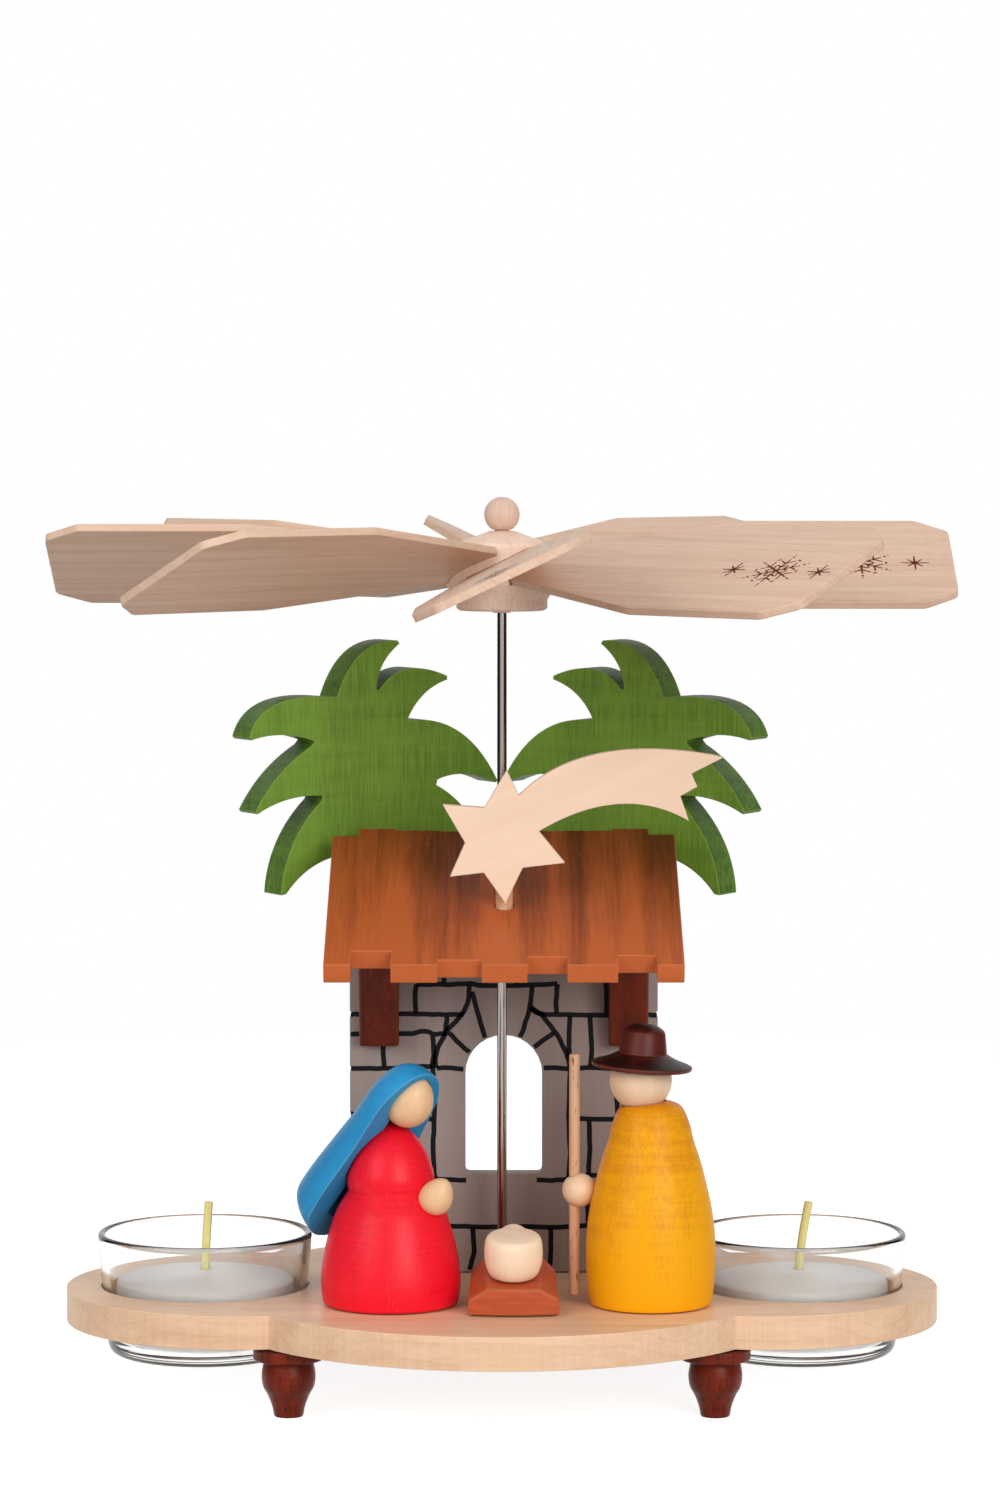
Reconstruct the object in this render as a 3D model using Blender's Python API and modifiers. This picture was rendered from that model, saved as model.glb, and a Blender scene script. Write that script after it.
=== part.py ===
"""Candle carousel: the warm air of two tealights turns a wooden impeller over a small stable scene.

Everything stands on a beech board on four turned feet. X runs to the right, Y to the back and Z up,
and the origin lies on the table, under the shaft. Lengths are in metres.
"""

import math

import bmesh
import bpy
from mathutils import Matrix, Vector

MM = 0.001

# Fits that all pieces share
GAP = 0.3 * MM  # between faces that are glued, rest or run on each other
OVERRUN = 3.0 * MM  # how far a cutter reaches past the face that it opens
WELD = 0.0005 * MM  # points closer than this are one point

# Board
DISC_RADIUS = 60.0 * MM
LOBE_REACH = 54.0 * MM  # from the shaft to the centre of a lobe
LOBE_MARGIN = 15.6 * MM  # wood between a glass's hole and the edge of its lobe
BOARD_THICKNESS = 6.9 * MM
BOARD_EDGE = 0.5 * MM
HOLE_EDGE = 0.5 * MM

# Feet
FOOT_HEIGHT = 14.1 * MM
FOOT_RADIUS = 7.2 * MM
FOOT_ACROSS = 43.5 * MM
FOOT_FORWARD = 32.6 * MM
TENON_RADIUS = 3.0 * MM
TENON_LENGTH = 3.0 * MM
# radius and height, from the flange under the board down to the table
FOOT_SHARES = (
    (1.0, 1.0), (1.0, 0.83), (0.73, 0.80), (0.71, 0.765), (0.765, 0.60),
    (0.725, 0.44), (0.59, 0.31), (0.47, 0.15), (0.42, 0.0),
)

# Glasses and candles
CANDLE_RADIUS = 18.7 * MM
CANDLE_HEIGHT = 13.2 * MM
CANDLE_EDGE = 0.8 * MM
CANDLE_PLAY = 0.4 * MM  # between the wax and the glass around it
GLASS_OUTSET = 8.4 * MM  # how far a glass stands outside the centre of its lobe
GLASS_HEIGHT = 25.6 * MM
GLASS_DROP = 14.3 * MM  # how far a glass hangs below the deck
GLASS_WALL = 1.5 * MM
GLASS_FLOOR = 2.2 * MM
GLASS_FLARE = 1.9 * MM  # how much wider the rim is than the heel
GLASS_HEEL = 3.3 * MM  # height of the round heel
GLASS_FOOT_INSET = 3.3 * MM
GLASS_PUNT = 0.6 * MM
WICK_RADIUS = 0.9 * MM
WICK_LENGTH = 16.0 * MM  # above the wax
WICK_BEND_SHARE = 0.33  # of that length, before it leans
WICK_LEAN_LEFT = 0.8 * MM
WICK_LEAN_RIGHT = 2.1 * MM
TAB_RADIUS = 5.0 * MM
TAB_THICKNESS = 0.4 * MM

# Shaft and bearing
SHAFT_RADIUS = 1.0 * MM
POINT_LENGTH = 2.6 * MM
CUP_RADIUS = 2.5 * MM
CUP_HEIGHT = 4.6 * MM
CUP_RISE = 0.6 * MM  # how far the cup stands proud of the deck
CUP_RIM = 0.5 * MM
CUP_FLOOR = 0.9 * MM

# Impeller
BLADE_COUNT = 8
BLADE_PITCH = math.radians(25.3)
BLADE_HEIGHT = 151.4 * MM  # middle of the blades above the deck
BLADE_REACH = 94.0 * MM
BLADE_CHORD = 37.3 * MM
BLADE_THICKNESS = 1.6 * MM
BLADE_CHAMFER = 7.0 * MM
BLADE_CORNER = 2.5 * MM
BLADE_ROOT = 8.0 * MM  # from the axis to the inner end of a blade
BLADE_SHOULDER = 52.0 * MM  # where a blade reaches its full chord
ROOT_CHORD = 14.4 * MM
TIP_CHORD_SHARE = 0.73
HUB_RADIUS = 11.8 * MM
HUB_HEIGHT = 16.5 * MM
HUB_BELOW = 9.6 * MM  # from the middle of the blades down to the foot of the hub
HUB_BORE = 11.4 * MM
BOSS_WALL = 0.6 * MM
BOSS_HEIGHT = 0.5 * MM
KNOB_RADIUS = 3.7 * MM
KNOB_TENON_RADIUS = 1.5 * MM
KNOB_TENON_LENGTH = 2.4 * MM
KNOB_FLAT_SHARE = 0.84
# radius and height, from the cone under the knob down to the foot
HUB_SHARES = (
    (0.22, 1.0), (0.76, 0.86), (0.80, 0.80), (0.815, 0.74), (0.93, 0.60), (1.0, 0.47),
    (0.985, 0.34), (0.85, 0.19), (0.805, 0.13), (0.805, 0.03), (0.75, 0.0),
)

# Stable
STABLE_SHIFT = 0.4 * MM  # the stable stands this far right of the shaft
WALL_WIDTH = 65.4 * MM
WALL_FRONT = 13.0 * MM  # from the shaft back to the wall
WALL_THICKNESS = 5.0 * MM
WALL_NOTCH = 0.7 * MM
WALL_NOTCH_SHARES = (0.404, 0.526, 0.668)  # heights of the nicks in the wall's ends
WINDOW_WIDTH = 16.3 * MM
WINDOW_SILL = 21.1 * MM
WINDOW_HEIGHT = 21.5 * MM  # from the sill to where the arch springs
WINDOW_CORNER = 0.9 * MM
ROOF_SLOPE = math.radians(20.0)
ROOF_HEIGHT = 82.7 * MM  # the roof's top face above the deck, at the shaft
ROOF_WIDTH = 73.4 * MM
ROOF_FRONT = 34.0 * MM  # down the slope from the shaft to the front edge
ROOF_BACK = 31.8 * MM
ROOF_THICKNESS = 4.1 * MM
ROOF_EDGE = 0.4 * MM
PLANK_STEP = 6.4 * MM  # the most that one plank end stands back from the next
PLANK_SHARES = (0.0, 0.075, 0.186, 0.315, 0.439, 0.565, 0.676, 0.816, 0.924, 1.0)
EAVES_SHARES = (0.0, 1.0, 0.0, 0.36, 0.0, 0.60, 0.0, 0.69, 0.0)
RIDGE_SHARES = (0.55, 0.0, 0.13, 0.19, 0.06, 0.16, 0.13, 0.0, 0.45)
GUIDE_PLAY = 0.5 * MM  # between the shaft and its hole in the roof
BRACKET_WIDTH = 8.3 * MM
BRACKET_SPREAD = 26.4 * MM
BRACKET_FOOT = 49.1 * MM  # its lower end above the deck
BRACKET_REACH = 14.0 * MM
BRACKET_TOE = 3.5 * MM

# Comet star
STAR_RADIUS = 13.9 * MM
STAR_THICKNESS = 3.0 * MM
STAR_SHIFT = 0.5 * MM
STAR_ROOM = 0.9 * MM  # between its lowest point and the roof, where the dowel stands
TAIL_LENGTH = 45.4 * MM
DOWEL_RADIUS = 1.8 * MM
DOWEL_DROP = 0.7 * MM  # from the star's centre down to the dowel's top
DOWEL_FORWARD = 6.0 * MM
DOWEL_FLAT = 0.5 * MM
# direction in degrees and distance of each point and notch, from the tail's lower root to its upper one
STAR_RAYS_SHARES = (
    (10.0, 0.52), (-23.0, 0.98), (-59.0, 0.53), (-89.0, 0.99), (-120.0, 0.61), (-144.0, 1.0),
    (-172.0, 0.59), (-208.0, 1.04), (-236.0, 0.53), (-272.0, 1.0), (-289.0, 0.66),
)
TAIL_UPPER_SHARES = (0.363, 0.493)
TAIL_LOWER_SHARES = (0.537, 0.253)
TAIL_END_SHARES = ((1.0, 0.366), (0.852, 0.291), (0.879, 0.231), (0.802, 0.189), (0.841, 0.075))

# Palms
CROWN_REACH = 32.7 * MM
CROWN_HEIGHT = 103.7 * MM  # the crown's centre above the deck
CROWN_DROP = 16.0 * MM  # from the crown's centre down to where the trunk meets it
PALM_THICKNESS = 8.0 * MM
PALM_TURN = math.radians(30.0)
PALM_SPREAD = 25.3 * MM
PALM_SHIFT = -0.35 * MM
PALM_BACK = 39.0 * MM
TRUNK_WIDTH = 6.0 * MM
TRUNK_INSET = 1.5 * MM
# for each frond: its root, a control point, the two corners of its tip, a control point and its other root
FROND_SHARES = (
    ((0.35, 0.55), (0.215, 0.936), (-0.107, 0.917), (-0.122, 0.896), (0.047, 0.774), (0.052, 0.592)),
    ((0.03, 0.592), (-0.138, 0.818), (-0.483, 0.673), (-0.486, 0.648), (-0.278, 0.587), (-0.183, 0.391)),
    ((-0.20, 0.385), (-0.633, 0.414), (-0.875, -0.046), (-0.856, -0.055), (-0.607, 0.057), (-0.41, -0.02)),
    ((-0.40, -0.055), (-0.703, -0.21), (-0.783, -0.569), (-0.758, -0.587), (-0.489, -0.474), (-0.214, -0.489)),
    ((0.153, -0.489), (0.524, -0.465), (0.731, -0.734), (0.768, -0.740), (0.745, -0.388), (0.465, -0.127)),
    ((0.455, -0.095), (0.722, -0.073), (0.939, -0.199), (0.954, -0.183), (0.809, 0.081), (0.54, 0.235)),
    ((0.515, 0.265), (0.755, 0.353), (0.985, 0.287), (1.0, 0.303), (0.911, 0.612), (0.37, 0.552)),
)

# Woman
WOMAN_ROOM = 8.8 * MM  # between her foot and the glass beside her
WOMAN_FORWARD = 22.8 * MM
WOMAN_RADIUS = 14.35 * MM
WOMAN_HEIGHT = 37.8 * MM
WOMAN_HEAD_RADIUS = 5.0 * MM
WOMAN_HEAD_LENGTH = 11.4 * MM
WOMAN_HEAD_RISE = 42.6 * MM  # the head's centre above the deck
WOMAN_HEAD_SHIFT = 5.4 * MM
WOMAN_NOD = math.radians(36.0)
WOMAN_FACING = math.radians(43.0)  # turned from +X towards the viewer
WOMAN_HAND_RADIUS = 3.4 * MM
WOMAN_HAND_LENGTH = 8.2 * MM
WOMAN_HAND_RISE = 23.5 * MM
WOMAN_HAND_TURN = math.radians(-35.0)
HAND_SEAT = 0.4 * MM  # how deep a hand sits in its body
EGG_BIAS_SHARE = 0.12
DROP_BIAS_SHARE = 0.24
WOMAN_BUST_SHARES = (
    (0.0, 1.0), (0.28, 0.941), (0.50, 0.838), (0.61, 0.715), (0.612, 0.618),
)
WOMAN_SKIRT_SHARES = (
    (0.612, 0.618), (0.79, 0.495), (0.93, 0.323), (1.0, 0.15), (0.98, 0.027), (0.945, 0.0),
)

# Veil: a bell turned on the axis of the head, halved along it and bored out
VEIL_LENGTH = 44.1 * MM
VEIL_CROWN = 7.4 * MM  # from the head's centre up to the top of the bell
VEIL_LEAD = 0.35 * MM  # from the head's axis forward to the flat where the bell was halved
VEIL_BORE_TOP = 2.6 * MM  # radius of the bore where it leaves the head
VEIL_BORE_FOOT = 6.6 * MM
VEIL_BORE_LENGTH = 30.0 * MM
# along the bell from its top: how far it reaches to each side and to the back
VEIL_SHARES = (
    (0.013, 0.058, 0.076), (0.042, 0.103, 0.126), (0.088, 0.144, 0.158), (0.141, 0.174, 0.176),
    (0.196, 0.194, 0.185), (0.284, 0.205, 0.194), (0.372, 0.211, 0.204), (0.460, 0.222, 0.225),
    (0.548, 0.242, 0.244), (0.637, 0.264, 0.260), (0.725, 0.273, 0.269), (0.813, 0.269, 0.267),
    (0.868, 0.258, 0.260), (0.912, 0.233, 0.236), (0.952, 0.189, 0.192), (0.980, 0.132, 0.137),
    (0.996, 0.066, 0.066),
)

# Man
MAN_ROOM = 3.6 * MM  # between his foot and the glass beside him
MAN_FORWARD = 23.3 * MM
MAN_RADIUS = 13.35 * MM
MAN_HEIGHT = 41.9 * MM
MAN_HEAD_RADIUS = 6.4 * MM
MAN_HEAD_RISE = 46.4 * MM
MAN_HEAD_SHIFT = 2.1 * MM
HAT_TILT = math.radians(4.0)
HAT_SEAT = 1.9 * MM  # the flat on the head, above the head's centre
HAT_RADIUS = 10.3 * MM
HAT_HEIGHT = 9.4 * MM
MAN_HAND_RADIUS = 3.5 * MM
MAN_HAND_RISE = 23.3 * MM
MAN_HAND_TURN = math.radians(171.0)
STAFF_RADIUS = 1.1 * MM
STAFF_LENGTH = 49.9 * MM
STAFF_RISE = 1.5 * MM
STAFF_OFFSET = 1.0 * MM
MAN_SHARES = (
    (0.0, 1.0), (0.25, 1.0), (0.47, 0.97), (0.60, 0.882), (0.655, 0.807), (0.77, 0.697),
    (0.86, 0.585), (0.935, 0.477), (0.983, 0.365), (1.0, 0.25), (0.985, 0.12), (0.95, 0.03),
    (0.92, 0.0),
)
HAT_CROWN_SHARES = ((0.0, 1.0), (0.22, 0.975), (0.38, 0.88), (0.425, 0.80), (0.485, 0.36))
HAT_BRIM_SHARES = ((0.485, 0.36), (0.70, 0.24), (0.97, 0.135), (1.0, 0.085), (0.97, 0.03), (0.8, 0.0))

# Crib and child
CRIB_SHIFT = 2.35 * MM
CRIB_WIDTH = 18.8 * MM
CRIB_DEPTH = 17.0 * MM
CRIB_FORWARD = 38.9 * MM  # from the shaft to the crib's front, at the least
CRIB_FRONT_HEIGHT = 5.0 * MM
CRIB_BACK_HEIGHT = 9.2 * MM
CRIB_BOW = 1.9 * MM
# right halves of the block's front and back: half width and height
CRIB_FRONT_SHARES = ((1.0, 0.0), (1.0, 0.48), (0.56, 1.0))
CRIB_BACK_SHARES = ((0.92, 0.0), (0.92, 0.72), (0.65, 1.0))
CHILD_RADIUS = 5.85 * MM
CHILD_HEIGHT = 8.7 * MM
CHILD_INSET = 7.0 * MM  # from the crib's front to the middle of its foot
CHILD_RISE = 7.4 * MM  # its lower end above the deck
CHILD_LEAN = math.radians(11.0)
CHILD_HEAD_RADIUS = 3.7 * MM
CHILD_HEAD_INSET = 1.1 * MM  # from the crib's back to the head's centre
CHILD_SHARES = (
    (0.0, 1.0), (0.71, 1.0), (0.93, 0.80), (1.0, 0.50), (0.90, 0.21), (0.66, 0.05), (0.42, 0.0),
)

# How finely curves are cut into straight pieces
BIG_ROUND = 32
HUB_ROUND = 28
MIDDLE_ROUND = 24
SMALL_ROUND = 16
LOBE_STEPS = 30
DISC_STEPS = 20
EGG_STEPS = 10  # from the top of an egg or a ball to its foot
BEND_STEPS = 5
FILLET_POINTS = 3  # for each rounded corner
VEIL_STEPS = 8
CORNER_STEPS = 3
RIM_STEPS = 4
ARCH_STEPS = 14
STAR_STEPS = 9

# Heights and places that follow from the sizes above
DECK = FOOT_HEIGHT + GAP + BOARD_THICKNESS
FLOOR = DECK + GAP  # where glued pieces stand
HEEL_RADIUS = CANDLE_RADIUS + CANDLE_PLAY + GLASS_WALL
RIM_RADIUS = HEEL_RADIUS + GLASS_FLARE
SEAT_RISE_SHARE = (GLASS_DROP - GLASS_HEEL) / (GLASS_HEIGHT - GLASS_HEEL)
SEAT_RADIUS = HEEL_RADIUS + GLASS_FLARE * SEAT_RISE_SHARE  # the glass where it passes the deck
LOBE_RADIUS = SEAT_RADIUS + GAP + LOBE_MARGIN
GLASS_REACH = LOBE_REACH + GLASS_OUTSET
CUP_FOOT = DECK + CUP_RISE - CUP_HEIGHT
SHAFT_TIP = CUP_FOOT + CUP_FLOOR + GAP
BLADE_MIDDLE = DECK + BLADE_HEIGHT
HUB_FOOT = BLADE_MIDDLE - HUB_BELOW
SHAFT_LENGTH = HUB_FOOT + HUB_BORE - GAP - SHAFT_TIP
SIDES = {"left": -1, "right": 1}

# Colour, roughness and metallic value of each finish
FINISHES = {
    "beech": ((0.66, 0.45, 0.31), 0.55, 0.0),
    "oiled_beech": ((0.55, 0.33, 0.18), 0.45, 0.0),
    "red_brown_stain": ((0.16, 0.03, 0.012), 0.4, 0.0),
    "roof_stain": ((0.34, 0.075, 0.03), 0.45, 0.0),
    "stone_grey": ((0.22, 0.19, 0.175), 0.6, 0.0),
    "palm_green": ((0.09, 0.22, 0.03), 0.5, 0.0),
    "skin_wood": ((0.83, 0.62, 0.38), 0.5, 0.0),
    "red_stain": ((0.75, 0.01, 0.03), 0.45, 0.0),
    "blue_stain": ((0.02, 0.2, 0.5), 0.45, 0.0),
    "ochre_stain": ((0.87, 0.36, 0.02), 0.5, 0.0),
    "hat_brown": ((0.09, 0.02, 0.014), 0.4, 0.0),
    "crib_stain": ((0.5, 0.12, 0.03), 0.45, 0.0),
    "cream": ((0.9, 0.74, 0.57), 0.5, 0.0),
    "steel": ((0.5, 0.47, 0.45), 0.25, 1.0),
    "brass": ((0.7, 0.5, 0.2), 0.35, 1.0),
    "wax": ((0.75, 0.7, 0.66), 0.4, 0.0),
    "cotton": ((0.7, 0.66, 0.5), 0.8, 0.0),
    "clear_glass": ((0.9, 0.92, 0.92), 0.05, 0.0),
}


def finish(look):
    """the material for a finish, made on first use"""
    material = bpy.data.materials.get(look)
    if material is None:
        colour, roughness, metallic = FINISHES[look]
        material = bpy.data.materials.new(look)
        material.use_nodes = True
        shader = material.node_tree.nodes["Principled BSDF"]
        shader.inputs["Base Color"].default_value = (*colour, 1.0)
        shader.inputs["Roughness"].default_value = roughness
        shader.inputs["Metallic"].default_value = metallic
        material.diffuse_color = (*colour, 1.0)
    return material


def place(name, mesh, look, at=(0, 0, 0), turn=(0, 0, 0)):
    """a new object that holds the mesh, in the carousel's collection"""
    piece = bpy.data.objects.new(name, mesh)
    piece.location = at
    piece.rotation_euler = turn
    mesh.materials.append(finish(look))
    bpy.data.collections["candle_carousel"].objects.link(piece)
    return piece


def settle(piece):
    """keeps the shape that the modifiers give as a plain mesh, shaded smooth up to its sharp corners"""
    bpy.context.view_layer.update()
    graph = bpy.context.evaluated_depsgraph_get()
    old = piece.data
    mesh = bpy.data.meshes.new_from_object(piece.evaluated_get(graph))
    piece.modifiers.clear()
    piece.data = mesh
    bpy.data.meshes.remove(old)
    mesh.name = piece.name
    mesh.shade_smooth()
    mesh.set_sharp_from_angle(angle=math.radians(32))
    return piece


def mix(piece, other, operation="DIFFERENCE"):
    """cuts the other shape from the piece, or joins or overlaps them, and removes the other"""
    boolean = piece.modifiers.new("shape", "BOOLEAN")
    boolean.operation = operation
    boolean.object = other
    settle(piece)
    mesh = other.data
    bpy.data.objects.remove(other)
    bpy.data.meshes.remove(mesh)
    return piece


def turned(name, profile, look, at=(0, 0, 0), turn=(0, 0, 0), steps=MIDDLE_ROUND, closed=False):
    """a piece from the lathe: the profile's radii and heights, listed down its outer side, spun round Z"""
    mesh = bpy.data.meshes.new(name)
    edges = [(i, i + 1) for i in range(len(profile) - 1)]
    if closed:
        edges.append((len(profile) - 1, 0))
    mesh.from_pydata([(radius, 0, height) for radius, height in profile], edges, [])
    piece = place(name, mesh, look, at, turn)
    screw = piece.modifiers.new("lathe", "SCREW")
    screw.steps = screw.render_steps = steps
    screw.use_merge_vertices = True
    screw.merge_threshold = WELD
    return settle(piece)


def rod(name, radius, low, high, look, at=(0, 0, 0)):
    """a plain round rod between two heights"""
    return turned(name, [(0, high), (radius, high), (radius, low), (0, low)], look, at, steps=SMALL_ROUND)


def slab(name, outlines, thickness, look, at=(0, 0, 0), turn=(0, 0, 0), edge=0.0):
    """a flat piece sawn to an outline in its own X and Y; further outlines are holes through it"""
    curve = bpy.data.curves.new(name, "CURVE")
    curve.dimensions = "2D"
    curve.fill_mode = "BOTH"
    curve.extrude = thickness / 2
    for outline in outlines:
        line = curve.splines.new("POLY")
        line.points.add(len(outline) - 1)
        for point, (x, y) in zip(line.points, outline):
            point.co = (x, y, 0, 1)
        line.use_cyclic_u = True
    piece = place(name, solid_of(curve), look, at, turn)
    if edge:
        bevel = piece.modifiers.new("eased edges", "BEVEL")
        bevel.width = edge
        bevel.segments = 1
        bevel.limit_method = "ANGLE"
        bevel.angle_limit = math.radians(50)
    return settle(piece)


def solid_of(curve):
    """the closed mesh of a curve, its caps welded on; the curve is removed"""
    guide = bpy.data.objects.new("guide", curve)
    bpy.context.scene.collection.objects.link(guide)
    bpy.context.view_layer.update()
    graph = bpy.context.evaluated_depsgraph_get()
    mesh = bpy.data.meshes.new_from_object(guide.evaluated_get(graph))
    bpy.data.objects.remove(guide)
    bpy.data.curves.remove(curve)
    shape = bmesh.new()
    shape.from_mesh(mesh)
    bmesh.ops.remove_doubles(shape, verts=shape.verts, dist=WELD)
    bmesh.ops.recalc_face_normals(shape, faces=shape.faces)
    shape.to_mesh(mesh)
    shape.free()
    return mesh


def box(name, size, look, at, turn=(0, 0, 0)):
    """a block with these sides round its middle"""
    shape = bmesh.new()
    bmesh.ops.create_cube(shape, size=1, matrix=Matrix.Diagonal((*size, 1)))
    mesh = bpy.data.meshes.new(name)
    shape.to_mesh(mesh)
    shape.free()
    return place(name, mesh, look, at, turn)


def ball(name, radius, look, at, steps=SMALL_ROUND):
    """a wooden ball"""
    shape = bmesh.new()
    bmesh.ops.create_uvsphere(shape, u_segments=steps, v_segments=steps // 2, radius=radius)
    mesh = bpy.data.meshes.new(name)
    shape.to_mesh(mesh)
    shape.free()
    return settle(place(name, mesh, look, at))


def ramp(start, end, steps):
    """evenly spaced values from start to end"""
    return [start + (end - start) * i / steps for i in range(steps + 1)]


def arc(centre, radius, start, end, steps):
    """points along a part of a circle"""
    turns = ramp(start, end, steps)
    return [(centre[0] + radius * math.cos(a), centre[1] + radius * math.sin(a)) for a in turns]


def bend(start, control, end, steps=BEND_STEPS):
    """points along a curve from start to end that leans towards the control point"""
    points = []
    for t in ramp(0, 1, steps):
        weights = ((1 - t) ** 2, 2 * t * (1 - t), t**2)
        mixed = [sum(w * p[k] for w, p in zip(weights, (start, control, end))) for k in (0, 1)]
        points.append(tuple(mixed))
    return points


def through(points, steps=2):
    """a smooth line through all the points, which may have any number of coordinates"""
    padded = [points[0], *points, points[-1]]
    line = []
    for before, start, end, after in zip(padded, padded[1:], padded[2:], padded[3:]):
        for i in range(steps):
            t = i / steps
            line.append(tuple(
                b + t * (c - a) / 2 + t**2 * (a - 2.5 * b + 2 * c - d / 2)
                + t**3 * (1.5 * (b - c) + (d - a) / 2)
                for a, b, c, d in zip(before, start, end, after)
            ))
    return [*line, points[-1]]


def filleted(corners, radius):
    """the outline with each of its corners rounded, each by the same number of points"""
    outline = []
    for before, corner, after in zip([corners[-1], *corners], corners, [*corners[1:], corners[0]]):
        here = Vector(corner)
        back = Vector(before) - here
        ahead = Vector(after) - here
        cut = min(radius / math.tan(back.angle(ahead) / 2), back.length / 2, ahead.length / 2)
        start = here + back.normalized() * cut
        end = here + ahead.normalized() * cut
        outline += bend(start, here, end, FILLET_POINTS - 1)
    return outline


def scaled(shares, width, height):
    """a table of shares in real sizes"""
    return [(x * width, y * height) for x, y in shares]


def make_board():
    """the disc and its two lobes, with the glasses' holes and the sockets of the feet and the bearing cup"""
    corner_x = (DISC_RADIUS**2 - LOBE_RADIUS**2 + LOBE_REACH**2) / (2 * LOBE_REACH)
    corner_y = math.sqrt(DISC_RADIUS**2 - corner_x**2)
    disc_turn = math.atan2(corner_y, corner_x)
    lobe_turn = math.atan2(corner_y, corner_x - LOBE_REACH)
    lobe = arc((LOBE_REACH, 0), LOBE_RADIUS, -lobe_turn, lobe_turn, LOBE_STEPS)
    rear = arc((0, 0), DISC_RADIUS, disc_turn, math.pi - disc_turn, DISC_STEPS)
    half = lobe[:-1] + rear[:-1]
    outline = half + [(-x, -y) for x, y in half]
    middle = DECK - BOARD_THICKNESS / 2
    board = slab("base_board", [outline], BOARD_THICKNESS, "oiled_beech", (0, 0, middle), edge=BOARD_EDGE)
    for side in SIDES.values():
        mix(board, glass_hole(side * GLASS_REACH))
    cup_hole = CUP_FOOT - GAP
    mix(board, rod("hole", CUP_RADIUS + GAP, cup_hole, DECK + OVERRUN, "beech"))
    underside = DECK - BOARD_THICKNESS
    for x, y in foot_places().values():
        socket = (TENON_RADIUS + GAP, underside - OVERRUN, underside + TENON_LENGTH)
        mix(board, rod("hole", *socket, "beech", (x, y, 0)))


def glass_hole(x):
    """the cutter for a glass's hole, which eases the hole's upper edge"""
    radius = SEAT_RADIUS + GAP
    profile = [
        (0, DECK + OVERRUN),
        (radius + HOLE_EDGE + OVERRUN, DECK + OVERRUN),
        (radius, DECK - HOLE_EDGE),
        (radius, DECK - BOARD_THICKNESS - OVERRUN),
        (0, DECK - BOARD_THICKNESS - OVERRUN),
    ]
    return turned("hole", profile, "beech", (x, 0, 0), steps=BIG_ROUND)


def foot_places():
    """where each foot stands"""
    return {
        f"foot_{row}_{side}": (x * FOOT_ACROSS, y * FOOT_FORWARD)
        for row, y in (("front", -1), ("rear", 1))
        for side, x in SIDES.items()
    }


def make_feet():
    """four turned feet, each with a tenon up into the board"""
    top = FOOT_HEIGHT + TENON_LENGTH
    tenon = [(0, top), (TENON_RADIUS, top), (TENON_RADIUS, FOOT_HEIGHT)]
    profile = [*tenon, *scaled(FOOT_SHARES, FOOT_RADIUS, FOOT_HEIGHT), (0, 0)]
    for name, (x, y) in foot_places().items():
        turned(name, profile, "red_brown_stain", (x, y, 0), steps=SMALL_ROUND)


def glass_profile():
    """a tapered glass, from the middle of its inside floor over the lip and down to its foot"""
    inner_heel = HEEL_RADIUS - GLASS_WALL
    lip = GLASS_WALL / 2
    corner = GLASS_HEEL - GLASS_FLOOR + GLASS_WALL
    foot_radius = HEEL_RADIUS - GLASS_FOOT_INSET
    floor = (inner_heel - corner, GLASS_FLOOR)
    inside = bend(floor, (inner_heel, GLASS_FLOOR), (inner_heel, GLASS_FLOOR + corner), CORNER_STEPS)
    rim = arc((RIM_RADIUS - lip, GLASS_HEIGHT - lip), lip, math.pi, 0, RIM_STEPS)
    heel = bend((HEEL_RADIUS, GLASS_HEEL), (HEEL_RADIUS, 0), (foot_radius, 0), CORNER_STEPS)
    punt = [(foot_radius - GLASS_PUNT, 0), (foot_radius - 2 * GLASS_PUNT, GLASS_PUNT), (0, GLASS_PUNT)]
    return [(0, GLASS_FLOOR), *inside, *rim, *heel, *punt]


def make_glasses():
    """a loose glass for each candle, hanging by its taper in the board"""
    for side, x in SIDES.items():
        at = (x * GLASS_REACH, 0, DECK - GLASS_DROP)
        turned(f"glass_{side}", glass_profile(), "clear_glass", at, steps=BIG_ROUND)


def make_candles():
    """wax with a hole for its wick, the wick, and the metal disc that holds it"""
    foot = DECK - GLASS_DROP + GLASS_FLOOR + GAP
    hole = WICK_RADIUS + GAP
    recess = TAB_RADIUS + GAP
    step = TAB_THICKNESS + GAP
    corner = GLASS_HEEL - GLASS_FLOOR + GLASS_WALL
    heel = bend((CANDLE_RADIUS, corner), (CANDLE_RADIUS, 0), (CANDLE_RADIUS - corner, 0), CORNER_STEPS)
    top = [(CANDLE_RADIUS - CANDLE_EDGE, CANDLE_HEIGHT), (CANDLE_RADIUS, CANDLE_HEIGHT - CANDLE_EDGE)]
    profile = [(hole, CANDLE_HEIGHT), *top, *heel, (recess, 0), (recess, step), (hole, step)]
    leans = {"left": WICK_LEAN_LEFT, "right": WICK_LEAN_RIGHT}
    for side, x in SIDES.items():
        at = (x * GLASS_REACH, 0, foot)
        turned(f"candle_wax_{side}", profile, "wax", at, closed=True)
        rod(f"wick_tab_{side}", TAB_RADIUS, 0, TAB_THICKNESS, "steel", at)
        make_wick(f"wick_{side}", leans[side], at)


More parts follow.
